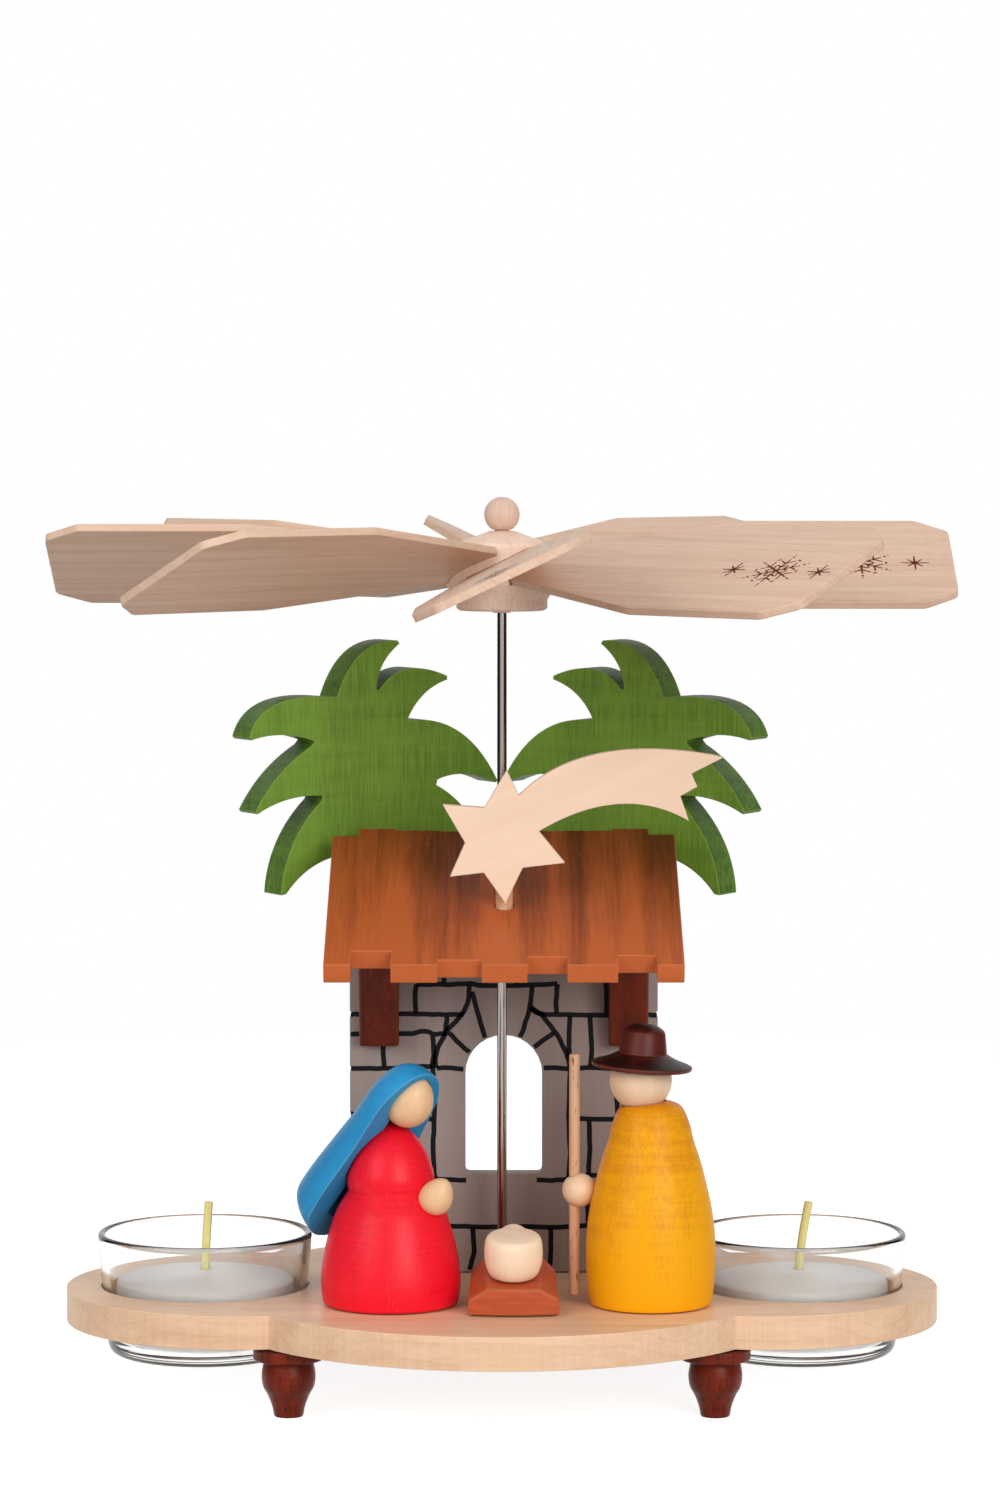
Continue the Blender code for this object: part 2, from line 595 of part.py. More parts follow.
def make_wick(name, lean, at):
    """a wick that stands straight in the wax and leans to one side above it"""
    curve = bpy.data.curves.new(name, "CURVE")
    curve.dimensions = "3D"
    curve.bevel_depth = WICK_RADIUS
    curve.bevel_resolution = 2
    curve.use_fill_caps = True
    points = [(0, TAB_THICKNESS + GAP), (0, CANDLE_HEIGHT)]
    bent = CANDLE_HEIGHT + WICK_BEND_SHARE * WICK_LENGTH
    points += bend((0, CANDLE_HEIGHT), (0, bent), (lean, CANDLE_HEIGHT + WICK_LENGTH))[1:]
    line = curve.splines.new("POLY")
    line.points.add(len(points) - 1)
    for point, (x, z) in zip(line.points, points):
        point.co = (x, 0, z, 1)
    settle(place(name, solid_of(curve), "cotton", at))


def make_bearing():
    """the cup in the deck, with the conical seat that the shaft's point turns in"""
    seat = CUP_RADIUS - CUP_RIM
    profile = [(0, CUP_FLOOR), (seat, CUP_HEIGHT), (CUP_RADIUS, CUP_HEIGHT), (CUP_RADIUS, 0), (0, 0)]
    turned("bearing_cup", profile, "brass", (0, 0, CUP_FOOT), steps=SMALL_ROUND)


def make_shaft():
    """a steel shaft, pointed below"""
    profile = [(0, SHAFT_LENGTH), (SHAFT_RADIUS, SHAFT_LENGTH), (SHAFT_RADIUS, POINT_LENGTH), (0, 0)]
    return turned("shaft", profile, "steel", (0, 0, SHAFT_TIP), steps=SMALL_ROUND)


def blade_outline():
    """a blade along +X: it widens from its root, runs on at full chord and ends in two chamfers"""
    half = BLADE_CHORD / 2
    edge = [
        (BLADE_SHOULDER, half),
        (BLADE_REACH - BLADE_CHAMFER, half),
        (BLADE_REACH, half * TIP_CHORD_SHARE),
    ]
    corners = edge + [(x, -y) for x, y in reversed(edge)]
    root = [(BLADE_ROOT, -ROOT_CHORD / 2), (BLADE_ROOT, ROOT_CHORD / 2)]
    rounded = filleted(corners + root, BLADE_CORNER)
    return rounded[: -2 * FILLET_POINTS] + root


def slot_outline():
    """the slot that takes a blade's root, with clearance all round"""
    half = BLADE_CHORD / 2 + GAP
    root = ROOT_CHORD / 2 + GAP
    start = BLADE_ROOT - GAP
    return [(start, -root), (BLADE_SHOULDER, -half), (BLADE_SHOULDER, half), (start, root)]


def blade_turn(number):
    """how a blade is pitched and which way it points, the first one to the front"""
    return (BLADE_PITCH, 0, math.tau * number / BLADE_COUNT - math.pi / 2)


def make_hub():
    """the turned hub, bored for the shaft and the knob and slotted for the blades"""
    bore = SHAFT_RADIUS + GAP
    boss = bore + BOSS_WALL
    socket = KNOB_TENON_RADIUS + GAP
    outside = scaled(HUB_SHARES, HUB_RADIUS, HUB_HEIGHT)
    profile = [
        (0, HUB_HEIGHT - KNOB_TENON_LENGTH),
        (socket, HUB_HEIGHT - KNOB_TENON_LENGTH),
        (socket, HUB_HEIGHT),
        *outside,
        (boss, 0),
        (boss, -BOSS_HEIGHT),
        (bore, -BOSS_HEIGHT),
        (bore, HUB_BORE),
        (0, HUB_BORE),
    ]
    hub = turned("hub", profile, "beech", (0, 0, HUB_FOOT), steps=HUB_ROUND)
    slot = slot_outline()
    for number in range(BLADE_COUNT):
        height = BLADE_THICKNESS + 2 * GAP
        mix(hub, slab("slot", [slot], height, "beech", (0, 0, BLADE_MIDDLE), blade_turn(number)))
    return hub


def make_knob():
    """the ball on top, flat underneath and pegged into the hub"""
    flat = math.pi - math.acos(KNOB_FLAT_SHARE)
    side = [(KNOB_RADIUS * math.sin(a), KNOB_RADIUS * math.cos(a)) for a in ramp(0, flat, EGG_STEPS)]
    seat = -KNOB_RADIUS * KNOB_FLAT_SHARE
    end = seat - KNOB_TENON_LENGTH
    profile = [*side, (KNOB_TENON_RADIUS, seat), (KNOB_TENON_RADIUS, end), (0, end)]
    return turned("knob", profile, "beech", (0, 0, HUB_FOOT + HUB_HEIGHT + GAP - seat), steps=SMALL_ROUND)


def make_impeller():
    """what turns: the shaft, the hub, the knob and the blades, all carried by an empty on the axis"""
    axis = bpy.data.objects.new("impeller_axis", None)
    axis.location = (0, 0, BLADE_MIDDLE)
    bpy.data.collections["candle_carousel"].objects.link(axis)
    pieces = [make_shaft(), make_hub(), make_knob()]
    for number in range(BLADE_COUNT):
        at = (0, 0, BLADE_MIDDLE)
        name = f"blade_{number + 1}"
        pieces.append(slab(name, [blade_outline()], BLADE_THICKNESS, "beech", at, blade_turn(number)))
    bpy.context.view_layer.update()
    for piece in pieces:
        piece.parent = axis
        piece.matrix_parent_inverse = axis.matrix_world.inverted()


def above_roof(clearance):
    """a cutter for all that is above the roof's underside, less the clearance"""
    depth = ROOF_THICKNESS + clearance
    reach = ROOF_WIDTH + ROOF_HEIGHT
    middle = Matrix.Rotation(ROOF_SLOPE, 3, "X") @ Vector((0, 0, reach / 2 - depth))
    at = Vector((0, 0, DECK + ROOF_HEIGHT)) + middle
    return box("cutter", (reach, reach, reach), "beech", at, (ROOF_SLOPE, 0, 0))


def make_wall():
    """the stable's wall: an arched window, nicks at the ends of the joints and a top that follows the roof"""
    half = WALL_WIDTH / 2
    height = ROOF_HEIGHT + ROOF_BACK / 2
    end = [(half, 0)]
    for share in WALL_NOTCH_SHARES:
        middle = share * ROOF_HEIGHT
        end += [(half, middle - WALL_NOTCH), (half - WALL_NOTCH, middle), (half, middle + WALL_NOTCH)]
    end.append((half, height))
    outline = end + [(-x, y) for x, y in reversed(end)]
    opening = WINDOW_WIDTH / 2
    spring = WINDOW_SILL + WINDOW_HEIGHT
    square = [(opening, spring), (-opening, spring), (-opening, WINDOW_SILL), (opening, WINDOW_SILL)]
    sill = filleted(square, WINDOW_CORNER)[2 * FILLET_POINTS :]
    window = sill + arc((0, spring), opening, 0, math.pi, ARCH_STEPS)
    upright = (math.pi / 2, 0, 0)
    at = (STABLE_SHIFT, WALL_FRONT + WALL_THICKNESS / 2, FLOOR)
    wall = slab("wall", [outline, window], WALL_THICKNESS, "stone_grey", at, upright)
    mix(wall, above_roof(GAP))


def make_roof():
    """one sloping slab, its ends stepped like planks, drilled for the shaft and the star's dowel"""
    edges = [(share - 0.5) * ROOF_WIDTH for share in PLANK_SHARES]
    eaves = []
    ridge = []
    for left, right, front, back in zip(edges, edges[1:], EAVES_SHARES, RIDGE_SHARES):
        eaves += [(x, -ROOF_FRONT + front * PLANK_STEP) for x in (left, right)]
        ridge += [(x, ROOF_BACK - back * PLANK_STEP) for x in (left, right)]
    outline = [p for p, q in zip(eaves + ridge[::-1], (eaves + ridge[::-1])[1:] + eaves[:1]) if p != q]
    top = Vector((STABLE_SHIFT, 0, DECK + ROOF_HEIGHT))
    middle = top + Matrix.Rotation(ROOF_SLOPE, 3, "X") @ Vector((0, 0, -ROOF_THICKNESS / 2))
    roof = slab("roof", [outline], ROOF_THICKNESS, "roof_stain", middle, (ROOF_SLOPE, 0, 0), edge=ROOF_EDGE)
    low = DECK + ROOF_HEIGHT - ROOF_FRONT
    high = DECK + ROOF_HEIGHT + ROOF_BACK
    mix(roof, rod("hole", SHAFT_RADIUS + GUIDE_PLAY, low, high, "beech"))
    mix(roof, rod("hole", DOWEL_RADIUS + GAP, low, high, "beech", (STAR_SHIFT, -DOWEL_FORWARD, 0)))


def make_brackets():
    """wedges between the wall and the roof"""
    high = ROOF_HEIGHT
    outline = [(0, BRACKET_FOOT), (0, high), (-BRACKET_REACH, high), (-BRACKET_TOE, BRACKET_FOOT)]
    for side, x in SIDES.items():
        at = (STABLE_SHIFT + x * BRACKET_SPREAD, WALL_FRONT - GAP, DECK)
        turn = (math.pi / 2, 0, math.pi / 2)
        bracket = slab(f"bracket_{side}", [outline], BRACKET_WIDTH, "red_brown_stain", at, turn)
        mix(bracket, above_roof(GAP))


def star_outline():
    """five points of a star, whose sixth is drawn out into a ragged tail"""
    rays = [(math.radians(turn), share * STAR_RADIUS) for turn, share in STAR_RAYS_SHARES]
    star = [(reach * math.cos(a), reach * math.sin(a)) for a, reach in rays]
    end = scaled(TAIL_END_SHARES, TAIL_LENGTH, TAIL_LENGTH)
    upper, lower = scaled((TAIL_UPPER_SHARES, TAIL_LOWER_SHARES), TAIL_LENGTH, TAIL_LENGTH)
    over = bend(star[-1], upper, end[0], STAR_STEPS)
    under = bend(end[-1], lower, star[0], STAR_STEPS)
    return [*star[1:], *over[1:], *end[1:-1], *under]


def make_star():
    """the comet star, and the dowel that carries it, flattened where the star is glued on"""
    outline = star_outline()
    roof_here = DECK + ROOF_HEIGHT - DOWEL_FORWARD * math.tan(ROOF_SLOPE)
    foot = roof_here - ROOF_THICKNESS / math.cos(ROOF_SLOPE)
    centre = roof_here + STAR_ROOM - min(y for x, y in outline)
    top = centre - DOWEL_DROP
    dowel = rod("star_dowel", DOWEL_RADIUS, foot, top, "beech", (STAR_SHIFT, -DOWEL_FORWARD, 0))
    side = 2 * DOWEL_RADIUS
    shave = (STAR_SHIFT, -DOWEL_FORWARD - DOWEL_RADIUS + DOWEL_FLAT - side / 2, top)
    mix(dowel, box("cutter", (2 * side, side, 2 * (top - roof_here - GAP)), "beech", shave))
    front = -DOWEL_FORWARD - DOWEL_RADIUS + DOWEL_FLAT - GAP
    at = (STAR_SHIFT, front - STAR_THICKNESS / 2, centre)
    slab("comet_star", [outline], STAR_THICKNESS, "beech", at, (math.pi / 2, 0, 0))


def make_palms():
    """two sawn palms behind the wall, mirror images, each with its outer edge turned to the front"""
    outline = []
    for root, out, tip, corner, back, end in FROND_SHARES:
        outline += bend(root, out, tip) + bend(corner, back, end)
    outline = scaled(outline, CROWN_REACH, CROWN_REACH)
    trunk_height = DECK + CROWN_HEIGHT - CROWN_DROP - GAP - FLOOR
    for side, x in SIDES.items():
        turn = -x * PALM_TURN
        face = Vector((math.sin(turn), -math.cos(turn), 0))
        along = Vector((math.cos(turn), math.sin(turn), 0)) * x
        middle = Vector((x * PALM_SPREAD + PALM_SHIFT, PALM_BACK, 0)) - face * PALM_THICKNESS / 2
        crown = [(x * out, up) for out, up in outline]
        at = middle + Vector((0, 0, DECK + CROWN_HEIGHT))
        slab(f"palm_crown_{side}", [crown], PALM_THICKNESS, "palm_green", at, (math.pi / 2, 0, turn))
        at = middle - along * TRUNK_INSET + Vector((0, 0, FLOOR + trunk_height / 2))
        size = (TRUNK_WIDTH, PALM_THICKNESS, trunk_height)
        box(f"palm_trunk_{side}", size, "red_brown_stain", at, (0, 0, turn))


def egg(name, radius, length, bias, look, at, turn, steps=SMALL_ROUND):
    """a turned egg or drop, broader towards its lower end by the bias"""
    turns = ramp(0, math.pi, EGG_STEPS)
    profile = [(radius * math.sin(a) * (1 - bias * math.cos(a)), length / 2 * math.cos(a)) for a in turns]
    profile[0] = (0, length / 2)
    profile[-1] = (0, -length / 2)
    return turned(name, profile, look, at, turn, steps)


def radius_at(table, radius, height, level):
    """the radius of a turned body at a level, read from its table of shares"""
    for (r0, h0), (r1, h1) in zip(table, table[1:]):
        if h1 * height <= level <= h0 * height:
            t = (h0 * height - level) / ((h0 - h1) * height)
            return radius * (r0 + t * (r1 - r0))
    return radius


def beside_glass(forward, radius, room):
    """how far from the shaft a figure stands to one side, so that the glass there keeps its room"""
    reach = RIM_RADIUS + radius + room
    return GLASS_REACH - math.sqrt(reach**2 - forward**2)


def make_woman():
    """a turned body with a waist, an egg for a head, a drop for her hands and a veil over all"""
    table = WOMAN_BUST_SHARES[:-1] + WOMAN_SKIRT_SHARES
    bust = through(scaled(WOMAN_BUST_SHARES, WOMAN_RADIUS, WOMAN_HEIGHT))
    skirt = through(scaled(WOMAN_SKIRT_SHARES, WOMAN_RADIUS, WOMAN_HEIGHT))
    profile = [*bust, *skirt[1:], (0, 0)]
    across = beside_glass(WOMAN_FORWARD, WOMAN_RADIUS, WOMAN_ROOM)
    axis = Vector((-across, -WOMAN_FORWARD, 0))
    body = turned("woman_body", profile, "red_stain", axis + Vector((0, 0, FLOOR)))
    ahead = Vector((math.cos(WOMAN_FACING), -math.sin(WOMAN_FACING), 0))
    head_at = axis + ahead * WOMAN_HEAD_SHIFT + Vector((0, 0, DECK + WOMAN_HEAD_RISE))
    nod = (0, WOMAN_NOD, -WOMAN_FACING)
    veil = make_veil(head_at, nod)
    room = [(r + GAP, z) for r, z in profile[1:-2]]
    room = [(0, WOMAN_HEIGHT + GAP), *room, (WOMAN_RADIUS, 0), (0, 0)]
    mix(veil, turned("cutter", room, "red_stain", axis + Vector((0, 0, FLOOR))))
    room = WOMAN_HEAD_RADIUS + GAP, WOMAN_HEAD_LENGTH + 2 * GAP
    for piece in (body, veil):
        mix(piece, egg("cutter", *room, EGG_BIAS_SHARE, "skin_wood", head_at, nod))
    egg("woman_head", WOMAN_HEAD_RADIUS, WOMAN_HEAD_LENGTH, EGG_BIAS_SHARE, "skin_wood", head_at, nod)
    reach = radius_at(table, WOMAN_RADIUS, WOMAN_HEIGHT, WOMAN_HAND_RISE) + WOMAN_HAND_RADIUS - HAND_SEAT
    aside = Vector((math.cos(WOMAN_HAND_TURN), math.sin(WOMAN_HAND_TURN), 0))
    hand_at = axis + aside * reach + Vector((0, 0, DECK + WOMAN_HAND_RISE))
    room = WOMAN_HAND_RADIUS + GAP, WOMAN_HAND_LENGTH + 2 * GAP
    mix(body, egg("cutter", *room, DROP_BIAS_SHARE, "skin_wood", hand_at, nod))
    egg("woman_hand", WOMAN_HAND_RADIUS, WOMAN_HAND_LENGTH, DROP_BIAS_SHARE, "skin_wood", hand_at, nod)


def make_veil(head_at, nod):
    """half a bell behind the head, flat where it was halved, with a bore that widens downwards"""
    points = [(VEIL_LEAD, 0, VEIL_CROWN)]
    rows = [[0] * (VEIL_STEPS + 1)]
    for along, side, back in VEIL_SHARES:
        rows.append(list(range(len(points), len(points) + VEIL_STEPS + 1)))
        for turn in ramp(-math.pi / 2, math.pi / 2, VEIL_STEPS):
            spot = Vector((-back * math.cos(turn), side * math.sin(turn), -along)) * VEIL_LENGTH
            points.append(spot + Vector((VEIL_LEAD, 0, VEIL_CROWN)))
    rows.append([len(points)] * (VEIL_STEPS + 1))
    points.append((VEIL_LEAD, 0, VEIL_CROWN - VEIL_LENGTH))
    faces = []
    for upper, lower in zip(rows, rows[1:]):
        for k in range(-1, VEIL_STEPS):
            corners = (upper[k], upper[k + 1], lower[k + 1], lower[k])
            faces.append([c for i, c in enumerate(corners) if c not in corners[:i]])
    mesh = bpy.data.meshes.new("woman_veil")
    mesh.from_pydata(points, [], faces)
    veil = place("woman_veil", mesh, "blue_stain", head_at, nod)
    tip = VEIL_BORE_LENGTH + VEIL_BORE_FOOT / 2
    bore = [(0, 0), (VEIL_BORE_TOP, 0), (VEIL_BORE_FOOT, -VEIL_BORE_LENGTH), (0, -tip)]
    return mix(veil, turned("cutter", bore, "blue_stain", head_at, nod))


def make_man():
    """a turned body, a ball head with a hat on its flat top, and a fist round a staff"""
    axis = Vector((beside_glass(MAN_FORWARD, MAN_RADIUS, MAN_ROOM), -MAN_FORWARD, 0))
    profile = through(scaled(MAN_SHARES[1:], MAN_RADIUS, MAN_HEIGHT))
    foot = axis + Vector((0, 0, FLOOR))
    body = turned("man_body", [(0, MAN_HEIGHT), *profile, (0, 0)], "ochre_stain", foot)
    head_at = axis + Vector((-MAN_HEAD_SHIFT, 0, DECK + MAN_HEAD_RISE))
    mix(body, ball("cutter", MAN_HEAD_RADIUS + GAP, "skin_wood", head_at))
    top = math.acos(HAT_SEAT / MAN_HEAD_RADIUS)
    turns = ramp(top, math.pi, EGG_STEPS)
    side = [(MAN_HEAD_RADIUS * math.sin(a), MAN_HEAD_RADIUS * math.cos(a)) for a in turns]
    head = [(0, HAT_SEAT), *side[:-1], (0, -MAN_HEAD_RADIUS)]
    turned("man_head", head, "skin_wood", head_at, (0, HAT_TILT, 0), steps=SMALL_ROUND)
    make_hat(head_at)
    reach = radius_at(MAN_SHARES, MAN_RADIUS, MAN_HEIGHT, MAN_HAND_RISE) + MAN_HAND_RADIUS - HAND_SEAT
    aside = Vector((math.cos(MAN_HAND_TURN), math.sin(MAN_HAND_TURN), 0))
    hand_at = axis + aside * reach + Vector((0, 0, DECK + MAN_HAND_RISE))
    mix(body, ball("cutter", MAN_HAND_RADIUS + GAP, "skin_wood", hand_at))
    hand = ball("man_hand", MAN_HAND_RADIUS, "skin_wood", hand_at)
    staff_at = hand_at + aside * STAFF_OFFSET
    staff_at.z = DECK + STAFF_RISE
    reach_up = MAN_HAND_RISE + 2 * MAN_HAND_RADIUS
    mix(hand, rod("hole", STAFF_RADIUS + GAP, 0, reach_up, "beech", staff_at))
    rod("man_staff", STAFF_RADIUS, 0, STAFF_LENGTH, "beech", staff_at)


def make_hat(head_at):
    """a hat with a domed crown and a sloping brim, turned as one"""
    crown = scaled(HAT_CROWN_SHARES, HAT_RADIUS, HAT_HEIGHT)
    brim = scaled(HAT_BRIM_SHARES, HAT_RADIUS, HAT_HEIGHT)
    lift = Matrix.Rotation(HAT_TILT, 3, "Y") @ Vector((0, 0, HAT_SEAT + GAP))
    turned("man_hat", [*crown, *brim[1:], (0, 0)], "hat_brown", head_at + lift, (0, HAT_TILT, 0))


def crib_reach():
    """how far the crib's front stands from the shaft: farther where a figure would meet its back"""
    reaches = [CRIB_FORWARD]
    figures = (
        (-beside_glass(WOMAN_FORWARD, WOMAN_RADIUS, WOMAN_ROOM), WOMAN_FORWARD, WOMAN_RADIUS + GAP),
        (beside_glass(MAN_FORWARD, MAN_RADIUS, MAN_ROOM), MAN_FORWARD, MAN_RADIUS + GAP),
    )
    for across, forward, radius in figures:
        aside = abs(across - CRIB_SHIFT) - CRIB_WIDTH / 2
        if aside < radius:
            reaches.append(forward + math.sqrt(radius**2 - max(aside, 0) ** 2) + CRIB_DEPTH)
    return max(reaches)


def make_crib():
    """a block with slanting shoulders and a bowed front, narrower and higher at its back"""
    half = CRIB_WIDTH / 2
    back = CRIB_DEPTH / 2
    middle = Vector((CRIB_SHIFT, back - crib_reach(), FLOOR))
    points = []
    for y, shares, high in (
        (-back - CRIB_BOW, CRIB_FRONT_SHARES, CRIB_FRONT_HEIGHT), (back, CRIB_BACK_SHARES, CRIB_BACK_HEIGHT)
    ):
        side = scaled(shares, half, high)
        points += [(x, y, z) for x, z in side + [(-x, z) for x, z in reversed(side)]]
    count = len(points) // 2
    faces = [list(range(count)), list(range(2 * count - 1, count - 1, -1))]
    for k in range(count):
        following = (k + 1) % count
        faces.append([k, k + count, following + count, following])
    mesh = bpy.data.meshes.new("crib")
    mesh.from_pydata(points, [], faces)
    crib = place("crib", mesh, "crib_stain", middle)
    plan = bend((-half - OVERRUN, CRIB_BOW - back), (0, -CRIB_BOW - back), (half + OVERRUN, CRIB_BOW - back))
    plan += [(half + OVERRUN, back + OVERRUN), (-half - OVERRUN, back + OVERRUN)]
    mix(crib, slab("plan", [plan], 4 * CRIB_BACK_HEIGHT, "crib_stain", middle), "INTERSECT")


def make_child():
    """a barrel for the wrapped body, let into the crib's slope, and a small ball for the head behind it"""
    profile = through(scaled(CHILD_SHARES[1:], CHILD_RADIUS, CHILD_HEIGHT))
    at = Vector((CRIB_SHIFT, CHILD_INSET - crib_reach(), DECK + CHILD_RISE))
    lean = (CHILD_LEAN, 0, 0)
    turned("child_body", [(0, CHILD_HEIGHT), *profile, (0, 0)], "cream", at, lean, steps=SMALL_ROUND)
    room = scaled(CHILD_SHARES, CHILD_RADIUS + GAP, CHILD_HEIGHT + 2 * GAP)
    scoop = turned("cutter", [*room, (0, 0)], "cream", at - Vector((0, 0, GAP)), lean, steps=SMALL_ROUND)
    mix(bpy.data.objects["crib"], scoop)
    slope = math.atan2(CRIB_BACK_HEIGHT - CRIB_FRONT_HEIGHT, CRIB_DEPTH + CRIB_BOW)
    rest = FLOOR + CRIB_BACK_HEIGHT - CHILD_HEAD_INSET * math.tan(slope)
    rest += (CHILD_HEAD_RADIUS + GAP) / math.cos(slope)
    back = CRIB_DEPTH - crib_reach() - CHILD_HEAD_INSET
    ball("child_head", CHILD_HEAD_RADIUS, "cream", (CRIB_SHIFT, back, rest))


def main():
    for old in list(bpy.data.objects):
        bpy.data.objects.remove(old)
    bpy.context.scene.collection.children.link(bpy.data.collections.new("candle_carousel"))
    make_board()
    make_feet()
    make_glasses()
    make_candles()
    make_bearing()
    make_impeller()
    make_wall()
    make_roof()
    make_brackets()
    make_star()
    make_palms()
    make_woman()
    make_man()
    make_crib()
    make_child()


main()
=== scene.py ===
# %% [markdown]
# # A candle carousel, dressed for its picture
# The carousel is a small heat engine made of wood. The warm air of two tealights rises, pushes on
# slanted blades and turns them over a stable scene. A CAD model already holds every solid and every
# joint in its true place. This lesson puts the finishes on that model. Straight sawn pieces keep the
# shape of their CAD solids and get eased edges. Curved sawn pieces are cut again from finer outlines,
# and turned pieces are spun again with more steps, because a lathe leaves a round surface and the CAD
# solids are made of flats.

# %% Load the carousel
import math

import bmesh
import bpy
from mathutils import Euler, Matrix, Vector, noise


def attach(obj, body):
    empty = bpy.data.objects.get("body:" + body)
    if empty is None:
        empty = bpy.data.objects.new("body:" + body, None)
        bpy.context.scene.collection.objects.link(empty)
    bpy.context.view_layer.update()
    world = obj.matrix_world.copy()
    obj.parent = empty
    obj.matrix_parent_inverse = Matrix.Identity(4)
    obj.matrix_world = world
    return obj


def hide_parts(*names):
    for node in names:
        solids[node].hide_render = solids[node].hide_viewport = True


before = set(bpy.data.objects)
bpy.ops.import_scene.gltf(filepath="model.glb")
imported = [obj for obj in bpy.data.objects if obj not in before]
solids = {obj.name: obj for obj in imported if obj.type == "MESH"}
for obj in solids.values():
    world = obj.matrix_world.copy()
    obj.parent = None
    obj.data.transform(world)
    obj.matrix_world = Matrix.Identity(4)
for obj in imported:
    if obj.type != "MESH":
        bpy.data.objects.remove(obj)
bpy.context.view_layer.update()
MM = 0.001  # a millimetre in metres, which the scene is built in

# %% [markdown]
# ## Two tools for materials
# Colours are given as hex codes, which are sRGB, while Blender's shaders count in linear
# light, so one function turns one into the other. A material is a small network of nodes, and one
# more function adds a node. Its inputs are numbers, colours or the outputs of other nodes, by name or
# in the node's own order, and its other settings are named.


# %% Colours and nodes
def hue(code):
    """the linear colour of an sRGB hex code"""
    parts = [int(code[i : i + 2], 16) / 255 for i in (1, 3, 5)]
    return [*(p / 12.92 if p <= 0.04045 else ((p + 0.055) / 1.055) ** 2.4 for p in parts), 1.0]


def add(tree, kind, inputs=(), **settings):
    """a new node in the tree, with its settings made and its inputs set or linked"""
    node = tree.nodes.new("ShaderNode" + kind)
    for name, value in settings.items():
        setattr(node, name, value)
    for name, value in inputs.items() if isinstance(inputs, dict) else enumerate(inputs):
        if isinstance(value, bpy.types.NodeSocket):
            tree.links.new(value, node.inputs[name])
        else:
            node.inputs[name].default_value = value
    return node


def blank(name, slot):
    """an empty material for a slot of the record, and its node tree"""
    look = bpy.data.materials.new(name)
    look.use_nodes = True
    look["slot"] = slot
    look.node_tree.nodes.clear()
    return look, look.node_tree


print("white is", hue("#ffffff")[:3], "and mid grey", [round(v, 3) for v in hue("#808080")[:3]])

# %% [markdown]
# ## Wood
# All but the candles, the glasses, the shaft and its cup is beech or maple. A finish goes from a pale
# tone to a deep one, and each place on the piece is made darker or lighter by these marks:
#
# - Broad streaks run with the grain, one to four millimetres wide, and fine fibres fill them.
# - The years of growth show as darker lines, one or two millimetres apart.
# - A planer leaves waves across the grain, a lathe leaves lines round its axis, and a saw leaves lines
#   up and down the edge of a board.
# - End grain and sawn sides drink more stain.
# - A painted shade makes one end of a piece deeper and the other paler, where the real piece lies
#   partly in shade.
#
# Beech also has rays, short dark flecks, and its edges come out paler: partly because sanding thins
# the stain there, and partly as a painted highlight along each eased edge. The marks are noise textures,
# stretched along the grain or round the lathe's axis, and their scales are worked out from sizes in
# millimetres. Real fibres are a few hundredths of a millimetre wide and the lines of a lathe a tenth,
# but this picture has only five pixels to a millimetre. So fibres are drawn a third of a millimetre wide
# and tool lines a fifth to a half, which is as fine as shows. The paler edges compare the surface with
# one whose edges are rounded, which the Bevel node gives.


# %% A wood finish
# How many marks there are to a millimetre, on X, Y and Z.
RIPPLE = (1.2, 0.14, 0.14)  # waves of a planer, with X along the grain
TURNING = (0.04, 0.04, 4.5)  # lines of a lathe, round Z
SAWING = (2.2, 2.2, 0.03)  # lines of a saw, up and down
YEARS = 9.0  # growth lines between the darkest and the palest place of their noise
LIFT = 0.02 * MM  # how far the fibres and the lathe's lines stand out


def drawn_out(width_mm, times):
    """how many marks of this width there are to a millimetre, when they are longer along the grain"""
    return (1 / (width_mm * times), 1 / width_mm, 1 / width_mm)


